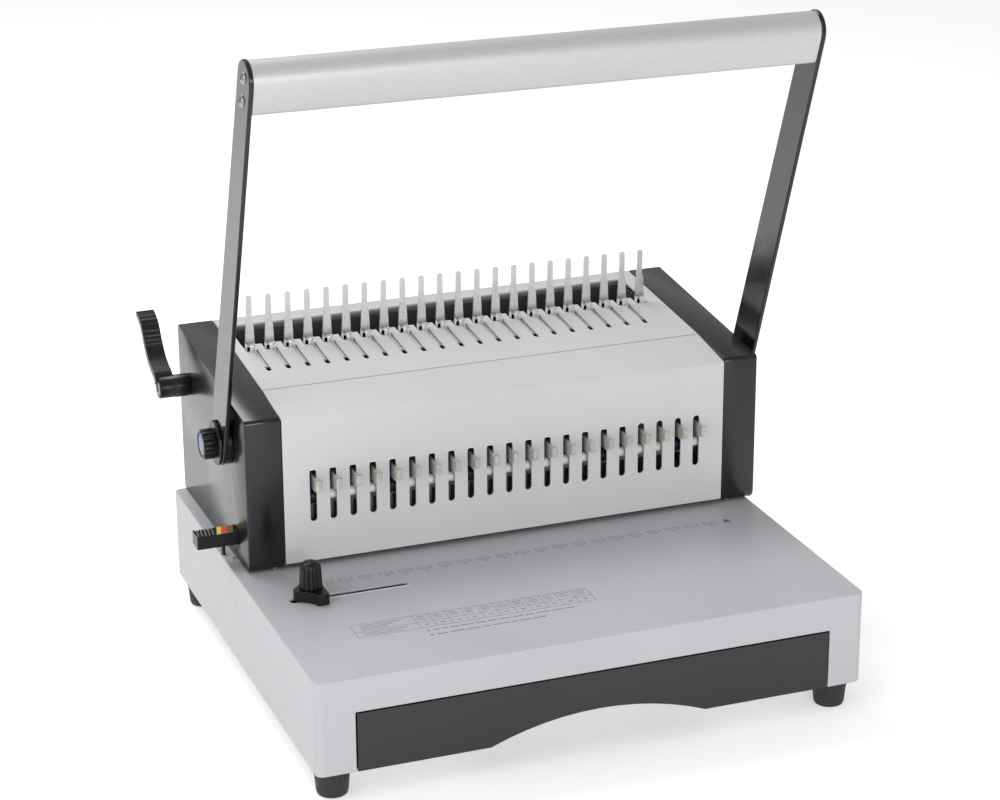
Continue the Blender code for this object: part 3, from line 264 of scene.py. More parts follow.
def bright_nickel():
    """Stamped steel, nickel plated: bright, with soft die lines and a warm cast in places."""
    look = Look("bright_nickel", (0.80, 0.80, 0.795), 0.26, 1.0)
    look.tint(look.noise(110.0, 3.0), 0.90, 1.05)
    look.stain(look.noise(75.0, 4.0), (0.60, 0.585, 0.545), 0.55, 0.80, 0.5)
    look.roughen(look.noise(600.0, 3.0, (1, 1, 0.12)), 0.20, 0.36)
    look.bump(look.noise(1300.0, 3.0, (1, 1, 0.08)), 0.00004, 0.4)
    return look.material


def finger_nickel():
    """The comb fingers' plating: pale blades, painted shade above the foot, painted highlight on it."""
    look = Look("finger_nickel", (0.60, 0.60, 0.59), 0.32, 0.55)
    look.tint(look.noise(110.0, 3.0), 0.92, 1.05)
    split = look.tree.nodes.new("ShaderNodeSeparateXYZ")
    look.tree.links.new(look.coords.outputs["Object"], split.inputs["Vector"])
    height = split.outputs["Z"]
    # Painted shade: a brown-grey band on the blade just above the foot.
    look.stain(height, (0.23, 0.215, 0.18), PAINTED_SHADE_TOP, PAINTED_SHADE_LOW, 0.75)
    # Painted highlight: the bent foot turns paler from the shade band's lower edge down.
    look.stain(height, (0.72, 0.72, 0.70), PAINTED_SHADE_LOW, FOOT_TOP, 1.0)
    look.roughen(look.noise(600.0, 3.0, (1, 1, 0.12)), 0.24, 0.38)
    look.bump(look.noise(1300.0, 3.0, (1, 1, 0.08)), 0.00004, 0.4)
    return look.material


def bar_painted_highlight():
    """The pressure bar: nearly white and hardly metallic, a painted highlight for the light it catches
    in the slots.
    """
    # Painted highlight: the near-white colour stands in for the light on the bar.
    look = Look("bar_painted_highlight", (0.93, 0.93, 0.92), 0.42, 0.05)
    look.tint(look.noise(240.0, 3.0, (0.2, 1, 1)), 0.90, 1.05)
    look.roughen(look.noise(500.0, 3.0, (0.1, 1, 1)), 0.28, 0.42)
    look.bump(look.noise(1200.0, 2.0, (0.1, 1, 1)), 0.00003, 0.3)
    return look.material


def hook_nickel():
    """The hook plate's plating: satin, evenly pale."""
    look = Look("hook_nickel", (0.58, 0.58, 0.57), 0.42, 0.5)
    look.tint(look.noise(110.0, 3.0), 0.92, 1.05)
    look.tint(look.noise(900.0, 3.0, (0.1, 1, 1)), 0.94, 1.05)
    look.roughen(look.noise(600.0, 3.0, (1, 0.12, 1)), 0.36, 0.48)
    look.bump(look.noise(1300.0, 3.0, (1, 0.08, 1)), 0.00003, 0.3)
    return look.material


def tab_nickel():
    """The pull tabs' duller plating, with olive grey patches."""
    look = Look("tab_nickel", (0.50, 0.495, 0.44), 0.38, 0.7)
    look.tint(look.noise(160.0, 3.0), 0.82, 1.08)
    look.stain(look.noise(95.0, 4.0), (0.42, 0.41, 0.36), 0.50, 0.75, 0.6)
    look.roughen(look.noise(700.0, 3.0, (1, 0.1, 1)), 0.26, 0.44)
    look.bump(look.noise(1400.0, 3.0, (1, 0.08, 1)), 0.00004, 0.4)
    return look.material


def zinc_steel():
    """Zinc-plated working steel: cool, blotchy and matt, with mill lines."""
    look = Look("zinc_steel", (0.40, 0.405, 0.415), 0.42, 0.95)
    look.tint(look.noise(55.0, 5.0), 0.82, 1.10)
    look.stain(look.cells(90.0), (0.52, 0.53, 0.55), 0.25, 0.60, 0.35)
    look.roughen(look.noise(130.0, 4.0), 0.34, 0.52)
    look.bump(look.noise(1000.0, 3.0, (0.1, 1, 1)), 0.00004, 0.4)
    return look.material


def screw_zinc():
    """Blue-grey zinc on the screws' heads."""
    look = Look("screw_zinc", (0.30, 0.33, 0.36), 0.30, 0.9)
    look.tint(look.noise(420.0, 3.0), 0.88, 1.05)
    look.roughen(look.noise(700.0), 0.16, 0.32)
    look.bump(look.noise(1500.0, 2.0), 0.00002, 0.4)
    return look.material


def matt_rubber():
    look = Look("matt_rubber", (0.012, 0.012, 0.0125), 0.62)
    look.tint(look.noise(80.0, 4.0), 0.8, 1.3)
    look.stain(look.noise(420.0, 4.0), (0.05, 0.05, 0.05), 0.62, 0.85, 0.4)
    look.roughen(look.noise(240.0), 0.48, 0.72)
    look.bump(look.noise(1300.0, 3.0), 0.00010, 0.6)
    return look.material


def print_ink(name, colour):
    """Printed ink, thin and uneven. The fine dark line in the cover's crease uses it too, as painted
    shade.
    """
    look = Look(name, colour, 0.5)
    look.tint(look.noise(900.0, 3.0), 0.80, 1.25)
    look.stain(look.noise(2200.0, 2.0), (0.45, 0.455, 0.465), 0.58, 0.72, 0.5)
    look.roughen(look.noise(600.0), 0.42, 0.6)
    look.bump(look.noise(1500.0, 2.0), 0.00003, 0.4)
    return look.material


def band_plastic(name, colour):
    """Satin plastic for the slider's bands and ridges, and for the painted highlight along the guide
    slot's front.
    """
    look = Look(name, colour, 0.4)
    look.tint(look.noise(500.0, 3.0), 0.88, 1.12)
    look.tint(look.noise(2200.0, 2.0), 0.9, 1.1)
    look.roughen(look.noise(600.0), 0.34, 0.5)
    look.bump(look.noise(1700.0, 2.0), 0.00004, 0.4)
    return look.material


def knob_disc_blue():
    """The pivot knobs' end discs: dark blue-grey steel, faintly mottled."""
    look = Look("knob_disc_steel", (0.15, 0.20, 0.27), 0.30, 0.9)
    look.tint(look.noise(300.0, 3.0), 0.85, 1.1)
    look.roughen(look.noise(500.0), 0.22, 0.4)
    look.bump(look.noise(1200.0, 2.0), 0.00003, 0.4)
    return look.material


MATERIALS = {
    "pale_paint": powder_paint("pale_powder_paint", (0.555, 0.56, 0.57)),
    "base_paint": powder_paint("base_powder_paint", (0.44, 0.445, 0.46)),
    "anthracite": gloss_anthracite(),
    "cap": satin_anthracite(),
    "tray": tray_paint(),
    "grip_grey": anodised_grip(),
    "black_plastic": moulded_black(),
    "trough": trough_black(),
    "bright_steel": bright_nickel(),
    "tab": tab_nickel(),
    "finger": finger_nickel(),
    "bar": bar_painted_highlight(),
    "dull_steel": zinc_steel(),
    "screw": screw_zinc(),
    "foot_rubber": matt_rubber(),
    "ink": print_ink("print_ink_grey", (0.13, 0.13, 0.14)),
    "faint_ink": print_ink("print_ink_faint", (0.17, 0.175, 0.185)),
    # Painted shade for the dark line in the cover's crease.
    "crease_shade": print_ink("crease_painted_shade", (0.20, 0.20, 0.21)),
    "band_yellow": band_plastic("band_yellow", (0.66, 0.53, 0.07)),
    "band_red": band_plastic("band_red", (0.50, 0.085, 0.012)),
    "band_olive": band_plastic("band_olive", (0.14, 0.10, 0.012)),
    "knob_disc": knob_disc_blue(),
    "serration": band_plastic("serration_grey", (0.20, 0.20, 0.195)),
    "hook": hook_nickel(),
    # Painted highlight along the guide slot's front edge.
    "slot_highlight": band_plastic("slot_edge_highlight", (0.72, 0.72, 0.71)),
}


# --- Shaping helpers --------------------------------------------------------------------
def soften(obj, width, segments=2):
    """Shades flat faces flat and round ones smooth, and rounds sharp edges if width isn't 0."""
    for polygon in obj.data.polygons:
        polygon.use_smooth = True
    if width:
        bevel = obj.modifiers.new("Bevel", "BEVEL")
        bevel.width = width
        bevel.segments = segments
        bevel.limit_method = "ANGLE"
        bevel.angle_limit = math.radians(32)
        bevel.harden_normals = True
        bevel.miter_outer = "MITER_ARC"
    else:
        split = obj.modifiers.new("EdgeSplit", "EDGE_SPLIT")
        split.split_angle = math.radians(32)


def make_piece(name, bm, body, slot, look=None, replaced=(), edge=0.0, segments=2):
    """Makes a piece from a bmesh in machine coordinates and puts it on its body."""
    bmesh.ops.recalc_face_normals(bm, faces=bm.faces)
    mesh = bpy.data.meshes.new(name)
    bm.to_mesh(mesh)
    bm.free()
    obj = bpy.data.objects.new(name, mesh)
    obj.location = MACHINE
    scene.collection.objects.link(obj)
    mesh.materials.append(MATERIALS[look or slot])
    soften(obj, edge, segments)
    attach(obj, body)
    if replaced:
        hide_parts(*replaced)
    return obj


def add_box(bm, low, high):
    centre = (Vector(low) + Vector(high)) / 2
    size = Vector(high) - Vector(low)
    bmesh.ops.create_cube(bm, size=1, matrix=Matrix.Translation(centre) @ Matrix.Diagonal((*size, 1)))


def in_plane(plane, across, up, along):
    return {
        "XY": (across, up, along),
        "XZ": (across, along, up),
        "YZ": (along, across, up),
    }[plane]


def add_prism(bm, outline, plane, low, high):
    """A flat outline extruded from low to high along the plane's normal."""
    ends = []
    for along in (low, high):
        ring = [bm.verts.new(in_plane(plane, across, up, along)) for across, up in outline]
        ends.append(ring)
        bm.faces.new(ring)
    for index in range(len(outline)):
        after = (index + 1) % len(outline)
        bm.faces.new((ends[0][index], ends[0][after], ends[1][after], ends[1][index]))


def add_turned(bm, profile, centre, axis="Z", steps=48, closed=False, shape=None):
    """A solid of revolution from (radius, distance along the axis) points.

    A closed profile makes a ring. shape gives a factor on the radius for an angle and a
    distance along the axis.
    """
    rings = []
    for radius, along in profile:
        ring = []
        for step in range(steps if radius else 1):
            angle = 2 * math.pi * step / steps
            reach = radius * (shape(angle, along) if shape else 1)
            across, up = reach * math.cos(angle), reach * math.sin(angle)
            place = (along, across, up) if axis == "X" else (across, up, along)
            ring.append(bm.verts.new(Vector(centre) + Vector(place)))
        rings.append(ring)
    pairs = list(zip(rings, rings[1:]))
    if closed:
        pairs.append((rings[-1], rings[0]))
    for first, second in pairs:
        for step in range(steps):
            after = (step + 1) % steps
            corners = [first[step % len(first)], first[after % len(first)]]
            corners += [second[after % len(second)], second[step % len(second)]]
            bm.faces.new(list(dict.fromkeys(corners)))


def arc(centre, radius, start, end, steps):
    """Points on an arc, from start to end degrees."""
    turns = [math.radians(start + (end - start) * step / steps) for step in range(steps + 1)]
    return [(centre[0] + radius * math.cos(t), centre[1] + radius * math.sin(t)) for t in turns]


def carve(obj, bm):
    """Cuts a bmesh, in machine coordinates, out of a piece, and keeps no cutter."""
    bmesh.ops.recalc_face_normals(bm, faces=bm.faces)
    mesh = bpy.data.meshes.new("cutter")
    bm.to_mesh(mesh)
    bm.free()
    cutter = bpy.data.objects.new("cutter", mesh)
    cutter.location = MACHINE
    scene.collection.objects.link(cutter)
    boolean = obj.modifiers.new("Cut", "BOOLEAN")
    boolean.operation = "DIFFERENCE"
    boolean.solver = "EXACT"
    boolean.object = cutter
    while obj.modifiers[0] != boolean:
        obj.modifiers.move(len(obj.modifiers) - 1, 0)
    bpy.context.view_layer.update()
    with bpy.context.temp_override(object=obj, active_object=obj, selected_objects=[obj]):
        bpy.ops.object.modifier_apply(modifier=boolean.name)
    bpy.data.objects.remove(cutter)
    for polygon in obj.data.polygons:
        polygon.use_smooth = True


# --- CAD nodes that stay, with their finishes --------------------------------------------
def keep_node(name, look, edge=0.0, segments=2):
    """Gives a CAD node its finish, joins its split faces and rounds its edges if edge isn't 0."""
    obj = nodes[name]
    obj.data.materials.clear()
    obj.data.materials.append(MATERIALS[look])
    bpy.context.view_layer.objects.active = obj
    with bpy.context.temp_override(object=obj, active_object=obj, selected_objects=[obj]):
        bpy.ops.mesh.customdata_custom_splitnormals_clear()
    weld = obj.modifiers.new("Weld", "WELD")
    weld.merge_threshold = 0.000002
    flat = obj.modifiers.new("Flatten", "DECIMATE")
    flat.decimate_type = "DISSOLVE"
    flat.angle_limit = math.radians(0.4)
    soften(obj, edge, segments)
    if edge:
        weighted = obj.modifiers.new("FlatFaces", "WEIGHTED_NORMAL")
        weighted.keep_sharp = True


KEPT = {
    "base_shell": ("base_paint", 0.0008),
    "cover": ("pale_paint", 0.0),
    "bottom_plate": ("dull_steel", 0.0003),
    "chip_tray": ("tray", 0.0004),
    "left_end_cap": ("cap", 0.0),
    "right_end_cap": ("cap", 0.0),
    "left_arm": ("anthracite", 0.0),
    "right_arm": ("anthracite", 0.0),
    "grip": ("grip_grey", 0.0),
    "comb_trough": ("trough", 0.0003),
    "pressure_bar": ("bar", 0.0),
    "hook_plate": ("hook", 0.0001),
    "die_plate": ("dull_steel", 0.0),
    "punch_guide": ("dull_steel", 0.0),
    "punch_carriage": ("dull_steel", 0.0),
    "depth_stop_bar": ("dull_steel", 0.0003),
    "edge_guide_clamp": ("dull_steel", 0.0003),
    "left_side_frame": ("dull_steel", 0.0003),
    "right_side_frame": ("dull_steel", 0.0003),
    "lever_shaft": ("dull_steel", 0.0),
    "main_shaft": ("dull_steel", 0.0),
    "left_pinion": ("dull_steel", 0.0),
    "right_pinion": ("dull_steel", 0.0),
    "return_spring": ("bright_steel", 0.0),
    "left_spacer": ("black_plastic", 0.0004),
    "right_spacer": ("black_plastic", 0.0004),
    "margin_slider": ("black_plastic", 0.0003),
}


def keep_cad_nodes():
    for name, (look, edge) in KEPT.items():
        keep_node(name, look, edge)
    for index in range(TOOTH_COUNT):
        keep_node(f"pull_tab_{index + 1:02d}", "tab", 0.00018)


# --- Comb fingers ------------------------------------------------------------------------
FINGER_FIRST_X = -0.1523
FINGER_TIP, FINGER_SHOULDER, FINGER_NECK = 0.1613, 0.1384, 0.1445


def finger_face(x):
    """One finger seen from the front: a tapering blade with a step in its right side."""
    points = [(x - 0.0034, 0.0980), (x - 0.0034, FOOT_TOP + 0.0008)]
    points += [(x - 0.00225, FINGER_NECK), (x - 0.0019, FINGER_TIP - 0.0026)]
    points += arc((x - 0.0004, FINGER_TIP - 0.0014), 0.0014, 165, 90, 5)
    points += arc((x + 0.0008, FINGER_TIP - 0.0012), 0.0012, 90, 15, 5)
    points += [(x + 0.0021, FINGER_TIP - 0.0032), (x + 0.0020, FINGER_NECK + 0.0022)]
    points += [(x + 0.0017, FINGER_NECK), (x + 0.0023, FINGER_NECK - 0.0022)]
    points += [(x + 0.0030, FINGER_SHOULDER), (x + 0.0034, FOOT_TOP), (x + 0.0034, 0.0980)]
    return points


def finger_foot(low):
    """The bent foot seen from the side: it stands forward of the blade and rounds over."""
    front, rear = 0.1114, 0.1145
    points = [(rear, low), (rear, FOOT_TOP + 0.0006)]
    points += arc((rear - 0.0003, FOOT_TOP - 0.0016), 0.0022, 85, 100, 1)
    points += arc((front + 0.0015, FOOT_TOP - 0.0015), 0.0015, 95, 180, 5)
    points += [(front, low)]
    return points


def make_fingers():
    """The row of comb fingers on one strip behind the feet."""
    low, high = machine_box("finger_plate")
    bm = bmesh.new()
    for index in range(FINGER_COUNT):
        x = FINGER_FIRST_X + index * COMB_PITCH
        add_prism(bm, finger_face(x), "XZ", low.y, high.y)
        add_prism(bm, finger_foot(0.1205), "YZ", x - 0.0034, x + 0.0034)
        add_prism(bm, finger_foot(0.1120), "YZ", x - 0.0033, x - 0.0008)
    add_box(bm, (low.x, low.y, low.z), (high.x, high.y, 0.1180))
    make_piece("finger_row", bm, "frame", "bright_steel", "finger", ["finger_plate"], 0.0003)


# --- Edge guide --------------------------------------------------------------------------
def block_outline():
    """The guide block from above: its front face waves forward to the right."""
    x, y = guide_axis.x, guide_axis.y
    points = [(x + 0.0086, y - 0.0125), (x + 0.0086, y + 0.0055)]
    points += arc((x, y + 0.0010), 0.0092, 60, 150, 8)
    points += arc((x - 0.0080, y - 0.0005), 0.0044, 130, 235, 6)
    points += [(x - 0.0078, y - 0.0052), (x - 0.0050, y - 0.0072), (x - 0.0016, y - 0.0108)]
    points += arc((x + 0.0016, y - 0.0128), 0.0024, 140, 270, 5)
    points += arc((x + 0.0070, y - 0.0136), 0.0016, 270, 340, 3)
    return points


KNOB_FLUTES, KNOB_FLUTE_SHARE, KNOB_PLAIN_TOP = 14, 0.10, 0.0030
KNOB_STUD_RADIUS = 0.0020


def make_edge_guide():
    """The guide's block and, on top of it, its fluted knob with a stud through the slot."""
    low, high = machine_box("edge_guide_block")
    bm = bmesh.new()
    add_prism(bm, block_outline(), "XY", low.z, high.z)
    make_piece(
        "guide_block", bm, "edge_guide", "black_plastic",
        replaced=["edge_guide_block"], edge=0.0005, segments=3,
    )
    knob_low, knob_high = machine_box("edge_guide_knob")

    def fluted(angle, along):
        wave = math.cos(KNOB_FLUTES * angle)
        deep = 0.0 if along > knob_high.z - KNOB_PLAIN_TOP else KNOB_FLUTE_SHARE
        return 1 - deep * max(0.0, -wave) ** 1.3

    top, skirt = knob_high.z, high.z + 0.0003
    profile = [(0, top), (0.0020, top - 0.0002), (0.0040, top - 0.0008), (0.0055, top - 0.0017)]
    profile += [(0.0064, top - 0.0026), (0.0069, top - 0.0034), (0.0073, top - 0.0060)]
    profile += [(0.0078, skirt + 0.0020), (0.0079, skirt + 0.0006), (0.0075, skirt)]
    profile += [(KNOB_STUD_RADIUS, skirt), (KNOB_STUD_RADIUS, knob_low.z), (0, knob_low.z)]
    bm = bmesh.new()
    add_turned(bm, profile, (guide_axis.x, guide_axis.y, 0), steps=96, shape=fluted)
    make_piece("guide_knob_fluted", bm, "guide_knob", "black_plastic", replaced=["edge_guide_knob"])


# --- Margin slider -----------------------------------------------------------------------
SLIDER_FRONT, SLIDER_REAR = 0.0253, 0.0377
SLIDER_BANDS = (
    ("slider_band_yellow", "band_yellow", -0.2050, -0.2018),
    ("slider_band_red", "band_red", -0.2016, -0.1975),
    ("slider_band_olive", "band_olive", -0.1973, -0.1935),
)
BAND_SLANT = 0.0030
RIDGE_COUNT, RIDGE_PITCH, RIDGE_WIDTH, RIDGE_SLANT, RIDGE_RISE = 5, 0.0026, 0.0007, 0.0018, 0.0005
POST_X, POST_Y = -0.1963, 0.0430


def make_slider_marks():
    """The slider's coloured bands and ridges, and on the base below it a mark of painted shade and the
    post.
    """
    low, high = machine_box("margin_slider")
    front, rear, top = SLIDER_FRONT, SLIDER_REAR, high.z
    for name, look, left, right in SLIDER_BANDS:
        bm = bmesh.new()
        slant = BAND_SLANT
        outline = [(left, front), (right, front), (right + slant, rear), (left + slant, rear)]
        add_prism(bm, outline, "XY", top - 0.0001, top + 0.00022)
        make_piece(name, bm, "slider", "black_plastic", look, edge=0.00008)
    bm = bmesh.new()
    for index in range(RIDGE_COUNT):
        x = low.x + 0.0008 + index * RIDGE_PITCH
        base = [(x, front), (x + RIDGE_WIDTH, front), (x + RIDGE_SLANT + RIDGE_WIDTH, rear)]
        base += [(x + RIDGE_SLANT, rear)]
        add_prism(bm, base, "XY", top - 0.0001, top + RIDGE_RISE)
    make_piece("slider_serration", bm, "slider", "black_plastic", "serration", edge=0.0002)
    bm = bmesh.new()
    # Painted shade: a dark triangle on the base top near the slider's post.
    add_prism(bm, [(-0.1922, 0.0300), (-0.1894, 0.0336), (-0.1924, 0.0362)], "XY", -HAIR, HAIR)
    make_piece("post_shade_mark", bm, "frame", "black_plastic", "ink")
    bm = bmesh.new()
    post = [(0, 0.0070), (0.0010, 0.0069), (0.0013, 0.0064), (0.0013, 0.0006)]
    post += [(0.0017, 0.0004), (0.0017, 0.0001), (0, 0.0001)]
    add_turned(bm, post, (POST_X, POST_Y, 0), steps=24)
    make_piece("slider_post", bm, "frame", "black_plastic")


# --- Handle details ----------------------------------------------------------------------
HANDLE_LEAN = math.radians(20.5)
ARM_SCREWS = (("upper", 0.2957), ("lower", 0.2789))
SCREW_SEAT_RADIUS, SCREW_SINK = 0.0042, 0.0002
CROSS_PLACE, CROSS_REACH, CROSS_HALF, CROSS_DEPTH = 0.0018, 0.0019, 0.00036, 0.0008


def handle_place(side_x, across, up):
    """A place on the leaning arm: across it, rearward positive, and up it from the pivot."""
    y = pivot.y + across * math.cos(HANDLE_LEAN) - up * math.sin(HANDLE_LEAN)
    z = pivot.z + across * math.sin(HANDLE_LEAN) + up * math.cos(HANDLE_LEAN)
    return (side_x, y, z)


def make_arm_screws():
    """Two domed screws with cross recesses on the outside of each arm."""
    for side, name in ((-1, "left"), (1, "right")):
        low, high = machine_box(f"{name}_arm")
        face = low.x if side < 0 else high.x
        for label, up in ARM_SCREWS:
            bm = bmesh.new()
            profile = [(0, 0.0021), (0.0012, 0.0020), (0.0025, 0.0016), (0.0036, 0.0009)]
            profile += [(SCREW_SEAT_RADIUS, 0.0001), (SCREW_SEAT_RADIUS, -SCREW_SINK)]
            profile += [(0, -SCREW_SINK)]
            profile = [(radius, side * along) for radius, along in profile]
            add_turned(bm, profile, handle_place(face, 0, up), "X", 32)
            screw = make_piece(f"{name}_arm_screw_{label}", bm, "handle", "bright_steel", "screw")
            x, y, z = handle_place(face + side * CROSS_PLACE, 0, up)
            reach, half = CROSS_REACH, CROSS_HALF
            plus = [(reach, -half), (reach, half), (half, half), (half, reach), (-half, reach)]
            plus += [(-half, half), (-reach, half), (-reach, -half), (-half, -half)]
            plus += [(-half, -reach), (half, -reach), (half, -half)]
            slots = bmesh.new()
            outline = [(y + across, z + above) for across, above in plus]
            add_prism(slots, outline, "YZ", x - CROSS_DEPTH, x + CROSS_DEPTH)
            carve(screw, slots)


WASHER_BORE, WASHER_FACE, WASHER_RIM, WASHER_CHAMFER = 0.0056, 0.0150, 0.0158, 0.0005
WASHER_LOBES, WASHER_LOBE_SHARE = 14, 0.018
PIVOT_FLUTES, PIVOT_FLUTE_SHARE, PIVOT_PLAIN_RIM = 16, 0.075, 0.0011


def make_pivot_trim():
    """The washers and fluted knobs at both ends of the main shaft, finely turned."""
    for side, name in ((-1, "left"), (1, "right")):
        low, high = machine_box(f"{name}_washer")
        near, far = (high.x, low.x) if side < 0 else (low.x, high.x)
        bm = bmesh.new()
        chamfer = side * WASHER_CHAMFER
        profile = [(WASHER_BORE, near), (WASHER_FACE, near), (WASHER_RIM, near + chamfer)]
        profile += [(WASHER_RIM, far - chamfer), (WASHER_FACE, far), (WASHER_BORE, far)]
        add_turned(
            bm, profile, (0, pivot.y, pivot.z), "X", 84, True,
            lambda angle, along: 1 - WASHER_LOBE_SHARE * (0.5 - 0.5 * math.cos(WASHER_LOBES * angle)),
        )
        make_piece(f"{name}_washer_lobed", bm, "handle", "black_plastic",
                   replaced=[f"{name}_washer"])
        low, high = machine_box(f"{name}_pivot_knob")
        near, far = (high.x, low.x) if side < 0 else (low.x, high.x)

        def fluted(angle, along, end=far):
            deep = 0.0 if abs(along - end) < PIVOT_PLAIN_RIM else PIVOT_FLUTE_SHARE
            return 1 - deep * max(0.0, -math.cos(PIVOT_FLUTES * angle)) ** 0.6

        profile = [(0, near), (0.0104, near), (0.0106, near + side * 0.0004)]
        profile += [(0.0104, far - side * 0.0016), (0.0101, far - side * 0.0007)]
        profile += [(0.0094, far), (0.0085, far), (0.0082, far - side * 0.0006)]
        profile += [(0, far - side * 0.0006)]
        bm = bmesh.new()
        add_turned(bm, profile, (0, pivot.y, pivot.z), "X", 96, shape=fluted)
        make_piece(f"{name}_knob_fluted", bm, "handle", "black_plastic",
                   replaced=[f"{name}_pivot_knob"])
        bm = bmesh.new()
        disc = [(0, far - side * 0.0001), (0.0040, far - side * 0.0001)]
        disc += [(0.0072, far - side * 0.0003), (0.0078, far - side * 0.0007), (0, far - side * 0.0007)]
        add_turned(bm, disc, (0, pivot.y, pivot.z), "X", 48)
        make_piece(f"{name}_knob_disc", bm, "handle", "bright_steel", "knob_disc")


# --- Comb lever --------------------------------------------------------------------------
def smooth_line(points, steps):
    """A smooth curve through points, by Catmull-Rom."""
    padded = [points[0], *points, points[-1]]
    smooth = []
    for a, b, c, d in zip(padded, padded[1:], padded[2:], padded[3:]):
        for step in range(steps):
            t = step / steps
            smooth.append(tuple(
                0.5 * (2 * q + (r - p) * t + (2 * p - 5 * q + 4 * r - s) * t * t
                       + (3 * q - p - 3 * r + s) * t**3)
                for p, q, r, s in zip(a, b, c, d)
            ))
    smooth.append(points[-1])
    return smooth


LEVER_BOSS_NEAR, LEVER_BOSS_END, LEVER_STRIP_SIDE = -0.1903, -0.2125, -0.2010
LEVER_HALF, LEVER_TIP_THINNING, RIB_DEPTH = 0.0027, 0.0007, 0.0006
THIN_FROM, RIBBED_FROM = 0.85, 0.62


def make_comb_lever():
    """A curved strip that ends in ribs, on a boss with a steel ring in its end."""
    low, high = machine_box("comb_lever")
    y, z = lever_axis.y, lever_axis.z
    line = [(y, z + 0.0040), (y + 0.0040, z + 0.0080), (y + 0.0110, z + 0.0103)]
    line += [(y + 0.0215, z + 0.0157), (y + 0.0298, z + 0.0245), (y + 0.0385, z + 0.0355)]
    line += [(y + 0.0510, z + 0.0410)]
    middle = smooth_line(line, 8)
    upper, lower = [], []
    for index, point in enumerate(middle):
        ahead = Vector(middle[min(index + 1, len(middle) - 1)])
        behind = Vector(middle[max(index - 1, 0)])
        run = (ahead - behind).normalized()
        normal = Vector((-run.y, run.x))
        share = index / (len(middle) - 1)
        half = LEVER_HALF - LEVER_TIP_THINNING * max(0.0, share - THIN_FROM) / (1 - THIN_FROM)
        ribbed = share > RIBBED_FROM and index % 2 == 0
        upper.append(tuple(Vector(point) + normal * (half - (RIB_DEPTH if ribbed else 0))))
        lower.append(tuple(Vector(point) - normal * half))
    bm = bmesh.new()
    add_prism(bm, upper + lower[::-1], "YZ", low.x, LEVER_STRIP_SIDE)
    make_piece("lever_strip", bm, "opener_lever", "black_plastic", edge=0.0005,
               replaced=["comb_lever"])
    near, end, strip_side = LEVER_BOSS_NEAR, LEVER_BOSS_END, LEVER_STRIP_SIDE
    profile = [(0.0044, end + 0.0006), (0.0050, end), (0.0072, end), (0.0079, end + 0.0007)]
    profile += [(0.0079, strip_side), (0.0082, strip_side + 0.0005), (0.0082, near - 0.0010)]
    profile += [(0.0078, near)]
    profile += [(0.0044, near)]
    bm = bmesh.new()
    add_turned(bm, profile, (0, y, z), "X", 64, True)
    make_piece("lever_boss", bm, "opener_lever", "black_plastic", replaced=["comb_lever"])
    bm = bmesh.new()
    ring = [(0.0036, end - 0.0002), (0.0048, end - 0.0002), (0.0050, end + 0.0004)]
    ring += [(0.0050, end + 0.0010), (0.0036, end + 0.0010)]
    add_turned(bm, ring, (0, y, z), "X", 48, True)
    make_piece("lever_ring", bm, "opener_lever", "dull_steel")


# --- Press clamps behind the front slots ---------------------------------------------------
CLAMP_TEETH = (0, 4, 8, 15, 19)
CLAMP_HALF, CLAMP_CHAMFERED_HALF = 0.0042, 0.0038
CLAMP_BORE, CLAMP_EDGE, CLAMP_RADIUS = 0.0037, 0.0050, 0.0053


def make_press_clamps():
    """Dark collars round the pressure bar, behind some of the front slots."""
    low, high = machine_box("pressure_bar")
    y, z = (low.y + high.y) / 2, (low.z + high.z) / 2
    for index in CLAMP_TEETH:
        x = (index - (TOOTH_COUNT - 1) / 2) * COMB_PITCH
        bm = bmesh.new()
        profile = [(CLAMP_BORE, x - CLAMP_HALF), (CLAMP_EDGE, x - CLAMP_HALF)]
        profile += [(CLAMP_RADIUS, x - CLAMP_CHAMFERED_HALF), (CLAMP_RADIUS, x + CLAMP_CHAMFERED_HALF)]
        profile += [(CLAMP_EDGE, x + CLAMP_HALF), (CLAMP_BORE, x + CLAMP_HALF)]
        add_turned(bm, profile, (0, y, z), "X", 40, True)
        make_piece(f"press_clamp_{index + 1:02d}", bm, "punch", "dull_steel", "black_plastic")


# --- Printed marks, a painted highlight by the guide slot and painted shade in the cover's crease ---
def add_stroke(bm, start, end, width):
    """A printed line on the base's top between two (x, y) points."""
    run = Vector((end[0] - start[0], end[1] - start[1]))
    side = Vector((-run.y, run.x)).normalized() * width / 2
    a, b = Vector(start), Vector(end)
    add_prism(bm, [tuple(p) for p in (a - side, b - side, b + side, a + side)], "XY", -HAIR, HAIR)


FIRST_MARK_X, MARK_HALF, MARK_FRONT, MARK_REAR, MARK_LINE = -0.1450, 0.0046, -0.0312, -0.0278, 0.00045


def make_hole_marks():
    """Small outlines of comb holes in front of the throat, each with a tick, and an end mark."""
    bm = bmesh.new()
    front, rear = MARK_FRONT, MARK_REAR
    for index in range(TOOTH_COUNT):
        x = FIRST_MARK_X + index * COMB_PITCH
        left, right = x - MARK_HALF, x + MARK_HALF
        corners = [(left, front), (right, front), (right, rear), (left, rear)]
        for start, end in zip(corners, corners[1:] + corners[:1]):
            add_stroke(bm, start, end, MARK_LINE)
        add_stroke(bm, (x - 0.0010, front - 0.0026), (x + 0.0010, front - 0.0026), 0.0010)
    make_piece("hole_marks", bm, "frame", "pale_paint", "faint_ink")
    bm = bmesh.new()
    x = FIRST_MARK_X + TOOTH_COUNT * COMB_PITCH - 0.0010
    add_prism(bm, [(x - 0.0032, -0.0325), (x + 0.0032, -0.0325), (x + 0.0008, -0.0270),
                   (x - 0.0008, -0.0270)], "XY", -HAIR, HAIR)
    make_piece("end_mark", bm, "frame", "pale_paint", "ink")


CHART_LEFT, CHART_RIGHT, CHART_REAR, CHART_FRONT = -0.1515, 0.0150, -0.1020, -0.1220
HEADER_WIDTH, CHART_COLUMNS, CHART_LINE = 0.0430, 11, 0.00040


